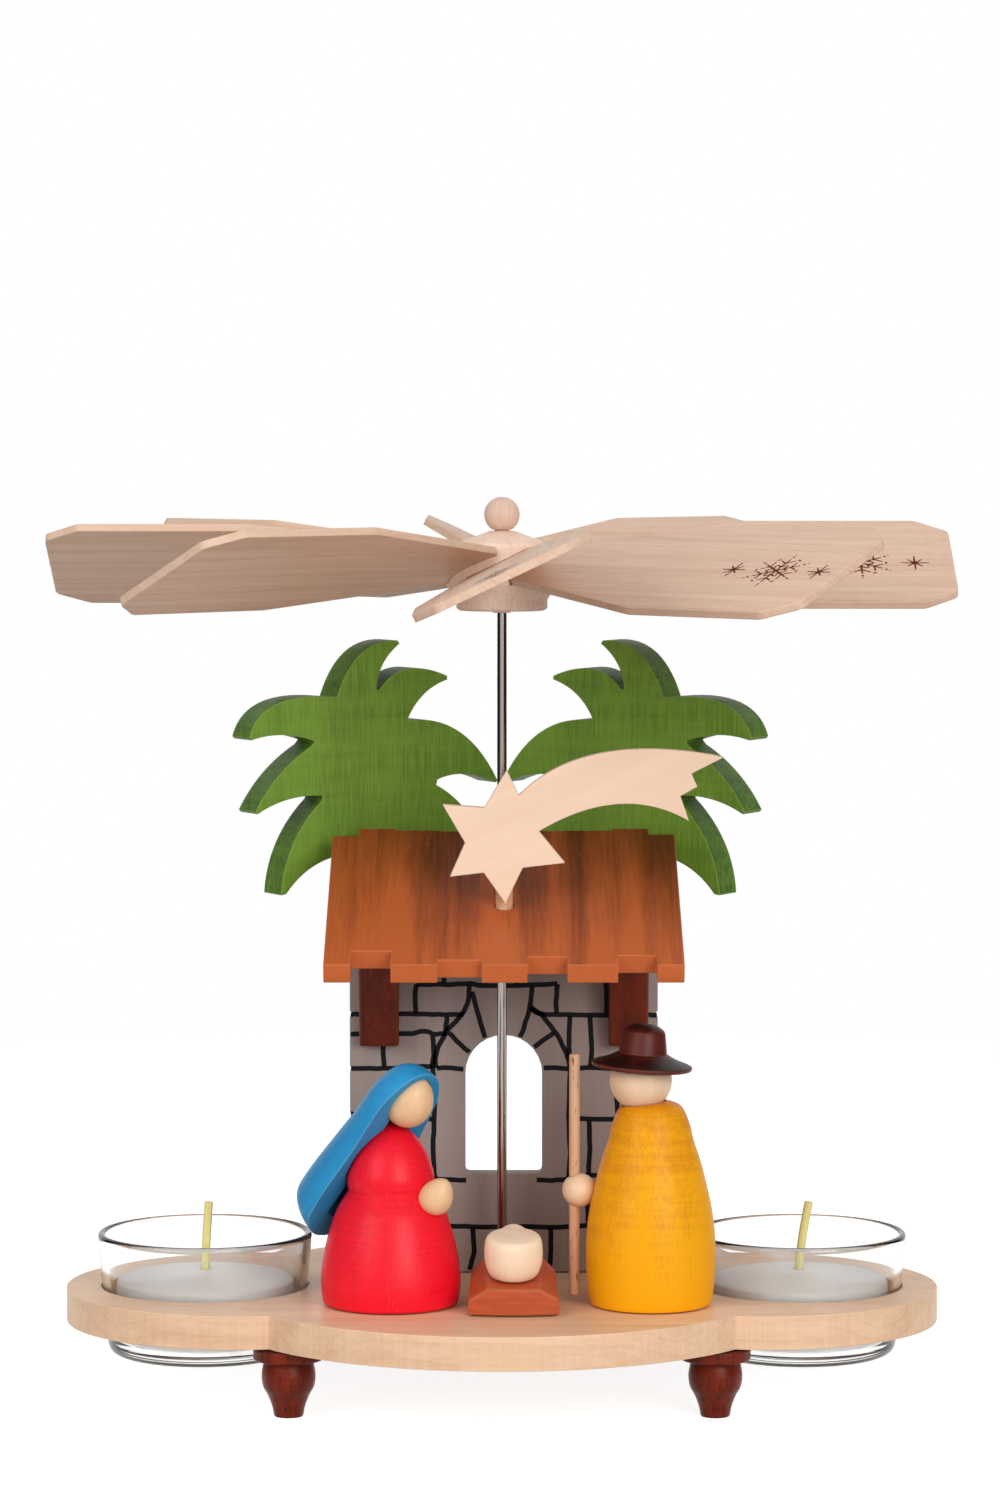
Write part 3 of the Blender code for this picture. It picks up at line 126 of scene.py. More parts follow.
def wood(name, slot, pale, deep, along=(0, 0, 0), streak_mm=2.0, streaks=0.5, year_mm=3.0, years=0.0,
         fibre_mm=0.35, fibres=0.3, fleck="", fleck_mm=0.25, flecks=0.0, ripple=0.0, turning=0.0,
         sawing=0.0, ends=0.0, sides=0.0, painted_shade=("Z", 0.0, 1.0, 0.0), edge="", edge_mm=0.4,
         roughness=0.5, shine=0.25):
    """wood whose grain runs along the X axis of a frame that is turned by along

    Names that end in mm are sizes, and the other marks have a strength from 0 to 1, below 0 where
    they make the wood paler. A painted shade deepens the wood along an axis, from one place to another
    in millimetres, by a strength, and makes the other end as much paler.
    """
    look, tree = blank(name, slot)
    place = add(tree, "TexCoord").outputs
    in_mm = add(tree, "VectorMath", {0: place["Object"], "Scale": 1 / MM}, operation="SCALE").outputs[0]
    grain = add(tree, "VectorRotate", {"Vector": in_mm, "Rotation": along}, rotation_type="EULER_XYZ",
                invert=True).outputs[0]
    marks = {}
    for mark, strength, where, rate, detail in (
            ("fibres", fibres, grain, drawn_out(fibre_mm, 20), 2.0),
            ("streaks", streaks, grain, drawn_out(streak_mm, 25), 2.0),
            ("years", years, grain, drawn_out(year_mm, 40), 0.0),
            ("flecks", flecks, grain, drawn_out(fleck_mm, 5), 1.0),
            ("ripple", ripple, grain, RIPPLE, 2.0),
            ("turning", turning, in_mm, TURNING, 2.0),
            ("sawing", sawing, in_mm, SAWING, 2.0)):
        if strength:
            scaled = add(tree, "VectorMath", (where, rate), operation="MULTIPLY").outputs[0]
            noises = add(tree, "TexNoise", {"Vector": scaled, "Scale": 0.5, "Detail": detail})
            marks[mark] = noises.outputs["Fac"]
    if years:
        lines = add(tree, "Math", (marks["years"], YEARS), operation="MULTIPLY").outputs[0]
        marks["years"] = add(tree, "Math", (lines,), operation="FRACT").outputs[0]
    # End grain faces along the grain, and a sawn side faces away from the piece's own Z axis.
    for mark, strength, turned_by, axis in (("ends", ends, along, "X"), ("sides", sides, (0, 0, 0), "Z")):
        if strength:
            facing = add(tree, "VectorRotate", {"Vector": place["Normal"], "Rotation": turned_by},
                         rotation_type="EULER_XYZ", invert=True).outputs[0]
            share = add(tree, "SeparateXYZ", (facing,)).outputs[axis]
            marks[mark] = add(tree, "Math", (share,), operation="ABSOLUTE").outputs[0]
    # Painted shade: the tone goes deeper towards one end of an axis and paler towards the other, where the
    # real piece lies partly in shade.
    shade_axis, shade_start, shade_end, shade_strength = painted_shade
    if shade_strength:
        marks["painted_shade"] = add(tree, "SeparateXYZ", (in_mm,)).outputs[shade_axis]
    # Where a mark's value goes from the first number to the second, its depth goes from the third
    # to the fourth.
    depths = {
        "streaks": (0.35, 0.65, 0.0, streaks),
        "fibres": (0.3, 0.7, -fibres / 2, fibres / 2),
        "years": (0.72, 1.0, 0.0, years),
        "ripple": (0.35, 0.65, -ripple, ripple),
        "turning": (0.35, 0.65, -turning, turning),
        "sawing": (0.35, 0.65, -sawing, sawing),
        "ends": (0.3, 1.0, 0.0, ends),
        "sides": (0.2, 0.8, sides, 0.0),
        "painted_shade": (shade_start, shade_end, -shade_strength / 2, shade_strength / 2),
    }
    depth = 0.0
    for mark, span in depths.items():
        if mark in marks:
            deeper = add(tree, "MapRange", (marks[mark], *span)).outputs[0]
            depth = add(tree, "Math", (depth, deeper), operation="ADD").outputs[0]
    tone = add(tree, "Mix", {0: depth, 6: hue(pale), 7: hue(deep)}, data_type="RGBA").outputs[2]
    if flecks:
        rays = add(tree, "MapRange", (marks["flecks"], 0.64, 0.74, 0.0, flecks)).outputs[0]
        tone = add(tree, "Mix", {0: rays, 6: tone, 7: hue(fleck)}, data_type="RGBA").outputs[2]
    rounded_off = add(tree, "Bevel", {"Radius": edge_mm * MM}, samples=6).outputs[0]
    # Sanded stain and painted highlight: where the surface turns away from its rounded-off copy, at the eased
    # edges, the tone goes towards the edge colour.
    if edge:
        flat = add(tree, "NewGeometry").outputs["Normal"]
        alike = add(tree, "VectorMath", (rounded_off, flat), operation="DOT_PRODUCT").outputs["Value"]
        sanded_and_highlit = add(tree, "MapRange", (alike, 0.995, 0.93, 0.0, 0.8)).outputs[0]
        tone = add(tree, "Mix", {0: sanded_and_highlit, 6: tone, 7: hue(edge)}, data_type="RGBA").outputs[2]
    height = marks["fibres"]
    if turning:
        height = add(tree, "Math", (marks["turning"], height), operation="ADD").outputs[0]
    relief = add(tree, "Bump", {"Height": height, "Distance": LIFT, "Strength": 1.0,
                                "Normal": rounded_off}).outputs[0]
    gloss = add(tree, "MapRange", (marks["fibres"], 0.0, 1.0, roughness - 0.05, roughness + 0.08)).outputs[0]
    shader = add(tree, "BsdfPrincipled", {"Base Color": tone, "Roughness": gloss, "Normal": relief,
                                          "IOR": 1.5, "Specular IOR Level": shine})
    add(tree, "OutputMaterial", {"Surface": shader.outputs[0]})
    return look


print("one fibre is drawn", round(0.35 * 4.8, 1), "pixels wide")

# %% [markdown]
# ## Raw wood, stains and paint
# Raw beech and maple are pale and dull. Many pieces were dipped in a water stain, which colours the
# wood and leaves its grain to be seen, and the wall alone is painted. The colours are matched to the
# object one by one, as are roughness and shine, which start from a half and a quarter. A grain that
# runs up the piece is turned from X by a quarter turn.

# %% The woods of this carousel
UPRIGHT = (0, math.radians(90), 0)
UP_THE_SAWN = (0, 0, math.radians(90))
DOWN_THE_ROOF = (0, math.radians(-20), math.radians(90))
DOWN_THE_STAR = (0, 0, math.radians(25))
woods = {
    # Turned beech, sanded and raw: pale and dull, with faint lines round it and small dark rays.
    "hub": wood("turned beech", "beech", "#f8dcc8", "#e2b79b", along=UPRIGHT, streaks=0.4, years=0.25,
                year_mm=4.0, flecks=0.2, fleck="#b07c58", turning=0.1),
    # The same beech from a pinker log.
    "knob": wood("turned pink beech", "beech", "#e2c4b2", "#cda48e", along=UPRIGHT, streaks=0.4, years=0.2,
                 year_mm=4.0, flecks=0.15, fleck="#a87860", turning=0.06),
    # Thin planed beech: growth lines run along each blade, faint waves cross it, and its rim is paler,
    # partly from sanding and partly a painted highlight.
    "blades": wood("planed beech", "beech", "#e4c3ab", "#cda386", streaks=0.4, years=0.35, year_mm=7.0,
                   fibres=0.25, flecks=0.1, fleck="#b58a68", ripple=0.05, edge="#efd0b6"),
    # Raw maple from the fretsaw: nearly white, even and quite dull.
    "comet": wood("sawn maple", "beech", "#f9dac0", "#f0ccac", along=DOWN_THE_STAR, streaks=0.35, fibres=0.2,
                  edge="#fae3cf", roughness=0.6),
    # Oiled maple: warmer than raw wood, with a soft shine, and upright saw lines on its edge.
    "board": wood("oiled maple", "oiled_beech", "#f2caa6", "#d2a27a", streak_mm=3.0, streaks=0.4, years=0.2,
                  year_mm=7.0, fibres=0.25, sawing=0.08, edge="#f8d9b8", roughness=0.4, edge_mm=0.3,
                  shine=0.4),
    # A dark red stain on turned feet: almost black in its fibres and rays, with narrow highlights.
    "feet": wood("dark red-stained turned beech", "red_brown_stain", "#7c260e", "#340c04", along=UPRIGHT,
                 streaks=0.6, flecks=0.7, fleck="#200805", fibres=0.5, turning=0.15, ends=0.3, roughness=0.34,
                 shine=0.16),
    # A rusty stain with bold streaks down the slope. A painted shade makes it deep at the upper edge,
    # which lies in the shade of the blades, and paler at the lower. The sawn ends of its planks came out
    # paler.
    "roof": wood("rust-stained sawn beech", "roof_stain", "#c4622e", "#672911", along=DOWN_THE_ROOF,
                 streak_mm=3.2, streaks=0.7, years=0.12, year_mm=6.0, fibres=0.25, flecks=0.15,
                 fleck="#cf8a58", ends=-0.35, painted_shade=("Y", -32.0, 30.0, 0.8), edge="#cf7c50", roughness=0.42,
                 shine=0.3),
    # A brown stain, also on the palms' trunks: dark and streaky, with lighter flecks, and edges made lighter
    # by sanding and by a painted highlight.
    "brackets": wood("brown-stained sawn beech", "red_brown_stain", "#722a15", "#45160a", along=UPRIGHT,
                     streaks=0.7, flecks=0.35, fleck="#8e4a30", edge="#83402b"),
    # Thin grey paint: dull and even, with only a hint of the grain.
    "wall": wood("grey-painted beech", "stone_grey", "#a2928b", "#8c7d76", along=UPRIGHT, streak_mm=4.0,
                 streaks=0.4, fibres=0.2, roughness=0.55, edge="#a89b94", edge_mm=0.3),
    # A green stain: clear fibres up the crown, sawn sides much darker than the face.
    "palms": wood("green-stained sawn beech", "palm_green", "#769c34", "#375a1a", along=UP_THE_SAWN,
                  streak_mm=4.0, streaks=0.25, fibre_mm=0.22, fibres=0.5, ripple=0.08, ends=0.2, sides=0.5,
                  flecks=0.2, fleck="#8fb455", edge="#8cb046"),
    # Turned and polished maple: hardly any grain and a soft highlight, close to skin.
    "maple heads": wood("turned maple", "skin_wood", "#f0c79c", "#e0ae7c", along=UPRIGHT, streaks=0.3,
                        fibres=0.15, roughness=0.38, shine=0.4),
    # The same maple, a paler ball.
    "maple balls": wood("pale turned maple", "skin_wood", "#f2cfac", "#e2b890", along=UPRIGHT, streaks=0.3,
                        fibres=0.15, roughness=0.38, shine=0.4),
    # A bright red stain: strong and even, deeper where the end grain of the shoulders drank it.
    "woman's dress": wood("red-stained turned beech", "red_stain", "#f8122c", "#c00617", along=UPRIGHT,
                          streaks=0.15, fibres=0.2, turning=0.12, ends=0.4, flecks=0.15, fleck="#ff5c68",
                          roughness=0.38, shine=0.26),
    # A blue stain: even, with a line of pale blue along the rim, partly sanded and partly a painted
    # highlight.
    "veil": wood("blue-stained turned beech", "blue_stain", "#2b98d2", "#1872ac", along=UPRIGHT, streaks=0.3,
                 fibres=0.25, edge="#7cc4e8", roughness=0.42),
    # An ochre stain with fine dark rays. A painted shade makes it brown at the shoulders and yellow at the
    # hem.
    "man's coat": wood("ochre-stained turned beech", "ochre_stain", "#f8ac08", "#c76a04", along=UPRIGHT,
                       streak_mm=4.0, streaks=0.4, fibres=0.35, fibre_mm=0.2, flecks=0.2, fleck="#b87010",
                       fleck_mm=0.2, turning=0.06, ripple=0.12, painted_shade=("Z", 0.0, 46.0, 0.9), ends=0.2,
                       roughness=0.4, shine=0.18),
    # A dark brown stain: near black on the end grain of crown and brim, and red-brown round the rim,
    # partly from sanding and partly a painted highlight.
    "hat": wood("dark brown-stained turned beech", "hat_brown", "#601d12", "#200603", along=UPRIGHT,
                streaks=0.4, turning=0.2, ends=0.8, edge="#7a3a28", roughness=0.42, shine=0.28),
    # An orange-brown stain: streaky, with pale edges, partly sanded and partly a painted highlight.
    "crib": wood("orange-brown-stained sawn beech", "crib_stain", "#be5630", "#98401f", streaks=0.6,
                 fibres=0.4, flecks=0.15, fleck="#d98a58", edge="#dc8e5c", roughness=0.42),
    # A cream stain: nearly white and smooth.
    "child": wood("cream-stained turned beech", "cream", "#fbe2c6", "#f0cfaa", along=UPRIGHT, streaks=0.4,
                  fibres=0.2, roughness=0.42),
    # A thin raw dowel: dull, and full of dark rays.
    "staff": wood("raw beech dowel", "beech", "#dcae8a", "#c58c66", along=UPRIGHT, streak_mm=1.0, flecks=0.9,
                  fleck="#6e3c22", fleck_mm=0.28),
}
print(len(woods), "wood finishes")

# %% [markdown]
# ## Steel, brass, glass, wax, cotton and ink
# These have no pattern that would show at this size, so each is one Principled shader. Steel and brass
# are metals and keep Blender's own index of refraction. Glass and wax have the index that a table of
# materials gives. What sets them apart is what they do with light, and a comment says it for each.


# %% The other finishes
def plain(name, slot, **inputs):
    """a material that is one Principled shader with these inputs"""
    look, tree = blank(name, slot)
    named = {key.replace("_", " "): value for key, value in inputs.items()}
    add(tree, "OutputMaterial", {"Surface": add(tree, "BsdfPrincipled", named).outputs[0]})
    return look


# Drawn steel: its tiny lines run lengthwise, so it looks smooth and dark with one bright line.
steel = plain("drawn steel", "steel", Base_Color=hue("#a49a93"), Metallic=1.0, Roughness=0.15)
# Turned brass: yellow, with a broader and softer highlight.
brass = plain("turned brass", "brass", Base_Color=hue("#c8a058"), Metallic=1.0, Roughness=0.3)
# Pressed soda glass: clear in the middle, and dark where one looks along the wall.
glass = plain("pressed soda glass", "clear_glass", Base_Color=hue("#fbfcfc"), Roughness=0.0, IOR=1.52,
              Transmission_Weight=1.0)
# Paraffin wax: light goes two millimetres in and comes out again, so its shadows are soft and milky.
wax = plain("paraffin wax", "wax", Base_Color=hue("#f6f2ed"), Roughness=0.45, IOR=1.43,
            Subsurface_Weight=0.6, Subsurface_Radius=(1.0, 0.9, 0.8), Subsurface_Scale=2.0 * MM)
# Waxed cotton: yellowish and dull.
cotton = plain("waxed cotton", "cotton", Base_Color=hue("#e2d68c"), Roughness=0.7, IOR=1.45)
# Printed inks: thin and matt, so that no lamp shows in them.
black = plain("black printing ink", "stone_grey", Base_Color=hue("#131417"), Roughness=0.6, IOR=1.5,
              Specular_IOR_Level=0.12)
brown = plain("brown stamping ink", "beech", Base_Color=hue("#6c2814"), Roughness=0.6, IOR=1.5,
              Specular_IOR_Level=0.12)
print("finishes:", ", ".join(m.name for m in (steel, brass, glass, wax, cotton, black, brown)))

# %% [markdown]
# ## Keeping and replacing solids
# A few small CAD solids only need their finish. A new piece takes the place of a solid: it gets a
# finish, it rides on the same body of the mechanism, and the solid behind it is hidden. The stable and
# the crib are straight sawn work, so their new pieces start as copies of the solids. Weld joins the
# points of the copy, Decimate makes each flat face whole again, and Bevel eases the edges by a few
# tenths of a millimetre, as sandpaper does, which gives them a thin bright line in the light.

# %% Finishing and fitting pieces
NEAR = 0.001 * MM  # points closer than this are one point
SHARP = 32  # degrees; turned pieces are smooth where their faces meet at less than this
FLAT = 14  # degrees; a sawn piece is smooth only along its curves
CORNER = math.radians(40)  # edges with more of a turn than this are eased


def dress(look, *names):
    """puts a finish on CAD solids that stay"""
    for name in names:
        solids[name].data.materials.clear()
        solids[name].data.materials.append(look)


def fit(piece, look, body, *stands_for):
    """gives a new piece its finish and its body, and hides the solids that it stands for"""
    piece.data.materials.clear()
    piece.data.materials.append(look)
    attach(piece, body)
    if stands_for:
        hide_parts(*stands_for)
    return piece


def put(name, data, at=(0, 0, 0), turn=(0, 0, 0)):
    """a new object in the scene that shows this data"""
    piece = bpy.data.objects.new(name, data)
    piece.location = at
    piece.rotation_euler = turn
    bpy.context.scene.collection.objects.link(piece)
    bpy.context.view_layer.update()
    return piece


def mesh_piece(name, points, faces=(), edges=(), at=(0, 0, 0), turn=(0, 0, 0)):
    """a new piece from points, edges and faces"""
    mesh = bpy.data.meshes.new(name)
    mesh.from_pydata(points, edges, faces)
    return put(name, mesh, at, turn)


def work(piece, kind, **settings):
    """a new modifier on the piece, with its settings"""
    modifier = piece.modifiers.new(kind, kind)
    for name, value in settings.items():
        setattr(modifier, name, value)


def made(piece):
    """the mesh that the piece's modifiers or its curve give"""
    graph = bpy.context.evaluated_depsgraph_get()
    return bpy.data.meshes.new_from_object(piece.evaluated_get(graph))


def settle(piece, sharp=SHARP):
    """keeps what the modifiers give, with its faces turned outwards and smooth up to its sharp edges"""
    mesh = made(piece)
    piece.modifiers.clear()
    piece.data = mesh
    shell = bmesh.new()
    shell.from_mesh(mesh)
    bmesh.ops.recalc_face_normals(shell, faces=shell.faces)
    shell.to_mesh(mesh)
    shell.free()
    mesh.shade_smooth()
    mesh.set_sharp_from_angle(angle=math.radians(sharp))
    return piece


def eased(name, look, solid, width_mm):
    """a piece like the CAD solid, with its flat faces made whole and its edges eased"""
    piece = put(name, solids[solid].data.copy())
    work(piece, "WELD", merge_threshold=NEAR)
    work(piece, "DECIMATE", decimate_type="DISSOLVE", angle_limit=math.radians(1))
    work(piece, "BEVEL", width=width_mm * MM, segments=2, limit_method="ANGLE", angle_limit=CORNER)
    return fit(settle(piece, FLAT), look, "carousel", solid)


eased("sawn_wall", woods["wall"], "wall", 0.25)
eased("sawn_roof", woods["roof"], "roof", 0.5)
for side in ("left", "right"):
    eased(f"sawn_bracket_{side}", woods["brackets"], f"bracket_{side}", 0.4)
    eased(f"sawn_trunk_{side}", woods["brackets"], f"palm_trunk_{side}", 0.3)
crib = eased("sawn_crib", woods["crib"], "crib", 0.5)
dress(woods["staff"], "star_dowel")
print("dressed the stable")

# %% [markdown]
# ## The lathe
# Turned wood, glasses and candles all come from one outline that is spun round an axis. Blender's
# Screw modifier does this: with no rise and a full turn it is a lathe. A line through a few measured
# radii is first smoothed, so that the profile has no corners where the wood has none.


# %% Spinning an outline
def through(points, steps=6):
    """a smooth line through the points, a Catmull-Rom spline"""
    padded = [points[0], *points, points[-1]]
    line = []
    for corners in zip(padded, padded[1:], padded[2:], padded[3:]):
        for t in [i / steps for i in range(steps)]:
            line.append(tuple(
                q
                + t * (r - p) / 2
                + t * t * (p - 2.5 * q + 2 * r - s / 2)
                + t**3 * (1.5 * (q - r) + (s - p) / 2)
                for p, q, r, s in zip(*corners)
            ))
    return [*line, points[-1]]


def bend(start, control, end, steps=10):
    """points along a curve that leans towards its control point"""
    ts = [i / steps for i in range(steps + 1)]
    return [tuple((1 - t) ** 2 * a + 2 * t * (1 - t) * b + t * t * c for a, b, c in zip(start, control, end))
            for t in ts]


def arc(centre, radius, start, end, steps=48):
    """points along a part of a circle"""
    turns = [start + (end - start) * i / steps for i in range(steps + 1)]
    return [(centre[0] + radius * math.cos(a), centre[1] + radius * math.sin(a)) for a in turns]


def sized(table, width=1, height=1):
    """a table of millimetres in metres; it can also hold shares of a width and a height"""
    return [(x * width * MM, y * height * MM) for x, y in table]


def lathe(name, profile, at=(0, 0, 0), turn=(0, 0, 0), steps=96, closed=False):
    """the outline of radii and heights, spun round Z"""
    edges = [(i, i + 1) for i in range(len(profile) - 1)]
    if closed:
        edges.append((len(profile) - 1, 0))
    piece = mesh_piece(name, [(r, 0, z) for r, z in profile], edges=edges, at=at, turn=turn)
    work(piece, "SCREW", steps=steps, render_steps=steps, use_merge_vertices=True, merge_threshold=NEAR)
    return settle(piece)


def egg(name, radius_mm, length_mm, bias, at, turn=(0, 0, 0)):
    """a turned egg, fuller towards its lower end by the bias"""
    radius, length = radius_mm * MM, length_mm * MM
    turns = [math.pi * i / 32 for i in range(33)]
    outline = [(radius * math.sin(a) * (1 - bias * math.cos(a)), length / 2 * math.cos(a)) for a in turns]
    outline[0], outline[-1] = (0, length / 2), (0, -length / 2)
    return lathe(name, outline, at, turn, steps=64)


def rod(radius_mm, foot_mm, top_mm):
    """the outline of a straight rod"""
    return sized(((0, top_mm), (radius_mm, top_mm), (radius_mm, foot_mm), (0, foot_mm)))


DECK = 21.3 * MM  # the top of the board, above the table
FLOOR = DECK + 0.3 * MM  # the feet of the figures, over a film of glue
print("the deck is", round(DECK / MM, 1), "mm above the table")

# %% [markdown]
# ## Board and feet
# The board is one plank, sawn as a disc with a round lobe for each candle. Arcs give its outline, a
# filled 2D curve gives the plank with its holes, and a Bevel modifier rounds the edges by about half a
# millimetre. The four feet are turned, and each has a wide flange under the board.


# %% Sawing a board
def sawn(name, outlines, thickness, at=(0, 0, 0), turn=(0, 0, 0), edge=0.0):
    """a flat piece sawn to an outline in its own X and Y, with its edges eased; more outlines are holes"""
    curve = bpy.data.curves.new(name, "CURVE")
    curve.dimensions = "2D"
    curve.fill_mode = "BOTH"
    curve.extrude = thickness / 2
    for outline in outlines:
        line = curve.splines.new("POLY")
        line.points.add(len(outline) - 1)
        for point, (x, y) in zip(line.points, outline):
            point.co = (x, y, 0, 1)
        line.use_cyclic_u = True
    pattern = put(name, curve)
    mesh = made(pattern)
    bpy.data.objects.remove(pattern)
    piece = put(name, mesh, at, turn)
    work(piece, "WELD", merge_threshold=NEAR)
    work(piece, "BEVEL", width=edge, segments=3, limit_method="ANGLE", angle_limit=CORNER)
    return settle(piece, FLAT)


def scoop(piece, cutter, sharp=SHARP):
    """cuts the cutter's shape out of the piece and removes the cutter"""
    work(piece, "BOOLEAN", object=cutter)
    settle(piece, sharp)
    bpy.data.objects.remove(cutter)


disc, lobe, lobe_at = 60.0 * MM, 37.44 * MM, 54.0 * MM
glass_at, glass_hole = 62.4 * MM, 21.84 * MM
plank = 6.9 * MM
corner_x = (disc**2 - lobe**2 + lobe_at**2) / (2 * lobe_at)
corner_y = math.sqrt(disc**2 - corner_x**2)
disc_turn = math.atan2(corner_y, corner_x)
lobe_turn = math.atan2(corner_y, corner_x - lobe_at)
half = [*arc((lobe_at, 0), lobe, -lobe_turn, lobe_turn)[:-1],
        *arc((0, 0), disc, disc_turn, math.pi - disc_turn)[:-1]]
outline = half + [(-x, -y) for x, y in half]
holes = [arc((x, 0), glass_hole, 0, math.tau, 96)[:-1] for x in (-glass_at, glass_at)]
board = sawn("board", [outline, *holes], plank, (0, 0, DECK - plank / 2), edge=0.6 * MM)
CUP_RADIUS, CUP_DEPTH = 2.8, 4.3
scoop(board, lathe("cutter", rod(CUP_RADIUS, -CUP_DEPTH, 5), (0, 0, DECK), steps=48), FLAT)
fit(board, woods["board"], "carousel", "base_board")

# Shares of the flange's radius and of the foot's height, from the top.
FOOT = ((0, 1.0), (0.98, 1.0), (1.0, 0.985), (1.0, 0.85), (0.97, 0.83), (0.76, 0.805), (0.70, 0.785),
        (0.72, 0.75), (0.765, 0.60), (0.725, 0.44), (0.59, 0.31), (0.47, 0.15), (0.42, 0.02), (0.40, 0.0),
        (0, 0))
foot_radius, foot_height = 7.2, 14.1
foot_line = sized(FOOT, foot_radius, foot_height)
foot_line = foot_line[:5] + through(foot_line[5:13]) + foot_line[13:]
foot_x, foot_y = 43.5 * MM, 32.6 * MM
for row, y in (("front", -foot_y), ("rear", foot_y)):
    for side, x in (("left", -foot_x), ("right", foot_x)):
        foot = lathe(f"turned_foot_{row}_{side}", foot_line, (x, y, 0))
        fit(foot, woods["feet"], "carousel", f"foot_{row}_{side}")
print("the board is", round(2 * (lobe_at + lobe) / MM, 1), "mm long")

# %% [markdown]
# ## Glasses and tealights
# A tealight glass is thick at its heel and round at its lip, and it hangs in its hole by its taper.
# Glass bends what is seen through it by its normals, so the outline has an extra point close to each
# end of the straight walls, and the normals between them stay straight. The candle stands inside it on
# the tiny steel disc that holds the wick. Its top is a low dome, two millimetres higher at the wick
# than at the glass.

# %% Glasses, wax and wicks
glass_foot = DECK - 14.3 * MM
heel, rim, thick, bottom, lip = 20.6 * MM, 22.5 * MM, 1.5 * MM, 2.2 * MM, 25.6 * MM
close = 0.05 * MM
glass_line = [
    (0, bottom),
    *bend((heel - 4.1 * MM, bottom), (heel - thick, bottom), (heel - thick, 4.8 * MM), 8),
    (heel - thick + close, 5.3 * MM),
    (rim - thick - close, 24.35 * MM),
    *arc((rim - thick / 2, lip - thick / 2), thick / 2, math.pi, 0, 8),
    (rim - close, 24.3 * MM),
    (heel + close, 3.85 * MM),
    *bend((heel, 3.3 * MM), (heel, 0), (heel - 3.3 * MM, 0), 8),
    *((heel - 3.9 * MM, 0), (heel - 4.5 * MM, 0.6 * MM), (0, 0.6 * MM)),
]
wax_foot = glass_foot + bottom + 0.3 * MM
wax_radius, wax_crown, wax_dip, wick_hole = 18.7, 15.1, 1.9, 1.2
dome = [(r, wax_crown - wax_dip * (r / wax_radius) ** 2) for r in (wick_hole, 4, 7, 10, 12.5, 15, 17, 18.2)]
wax_line = sized([
    *dome, (18.6, 13.0), (wax_radius, 12.5),
    *bend((wax_radius, 2.6), (wax_radius, 0), (wax_radius - 2.6, 0), 6),
    *((5.3, 0), (5.3, 0.7), (wick_hole, 0.7)),
])
for side, x in (("left", -glass_at), ("right", glass_at)):
    cup = lathe(f"tealight_glass_{side}", glass_line, (x, 0, glass_foot), steps=128)
    fit(cup, glass, f"glass_{side}", f"glass_{side}")
    candle = lathe(f"tealight_wax_{side}", wax_line, (x, 0, wax_foot), closed=True)
    fit(candle, wax, f"candle_{side}", f"candle_wax_{side}")
    dress(steel, f"wick_tab_{side}")
    dress(cotton, f"wick_{side}")
print("two tealights,", round(2 * wax_radius, 1), "mm across")

# %% [markdown]
# ## The hub and its shaft
# The hub is turned with a dome above and a step below, and eight slots are sawn into it at the pitch of
# the blades. A knob with a peg closes its top, and the steel shaft stands on its point in a brass cup.
# The slots are eight slanted boxes that a Boolean modifier takes away.

# %% Hub, knob and shaft
BLADE_MIDDLE = DECK + 151.4 * MM
HUB_FOOT = BLADE_MIDDLE - 9.6 * MM
PITCH = math.radians(25.3)
BLADE_TURNS = [(PITCH, 0, math.tau * number / 8 - math.pi / 2) for number in range(8)]

# Shares of the hub's radius and height. The first two and the last two are corners, the rest is smooth.
HUB = ((0.22, 1.0), (0.76, 0.86), (0.80, 0.80), (0.815, 0.74), (0.93, 0.60), (1.0, 0.47),
       (0.985, 0.34), (0.85, 0.19), (0.805, 0.13), (0.805, 0.03), (0.75, 0.0))
hub_radius, hub_height = 11.8, 16.5
hub_shape = sized(HUB, hub_radius, hub_height)
PEG_HOLE = ((0, 14.1), (1.8, 14.1), (1.8, hub_height))
SHAFT_HOLE = ((1.9, 0), (1.9, -0.5), (1.3, -0.5), (1.3, 11.4), (0, 11.4))
hub_line = [*sized(PEG_HOLE), *hub_shape[:2], *through(hub_shape[2:4]), *through(hub_shape[4:9]),
            *hub_shape[9:], *sized(SHAFT_HOLE)]
hub = lathe("turned_hub", hub_line, (0, 0, HUB_FOOT))
SLOT = ((7.7, 7.5), (30.0, 13.2))  # millimetres from the axis, and half its width there
SLOT_HALF_HEIGHT = 0.86
BOX = ((0, 1, 3, 2), (4, 6, 7, 5), (0, 4, 5, 1), (2, 3, 7, 6), (0, 2, 6, 4), (1, 5, 7, 3))
slots = []
for turn in BLADE_TURNS:
    slant = Euler(turn).to_matrix()
    for x, half_width in SLOT:
        slots += [slant @ Vector((x * MM, y * half_width * MM, z * SLOT_HALF_HEIGHT * MM))
                  for y in (-1, 1) for z in (-1, 1)]
faces = [tuple(8 * number + i for i in face) for number in range(8) for face in BOX]
scoop(hub, mesh_piece("slots", slots, faces, at=(0, 0, BLADE_MIDDLE)))
fit(hub, woods["hub"], "impeller", "hub")

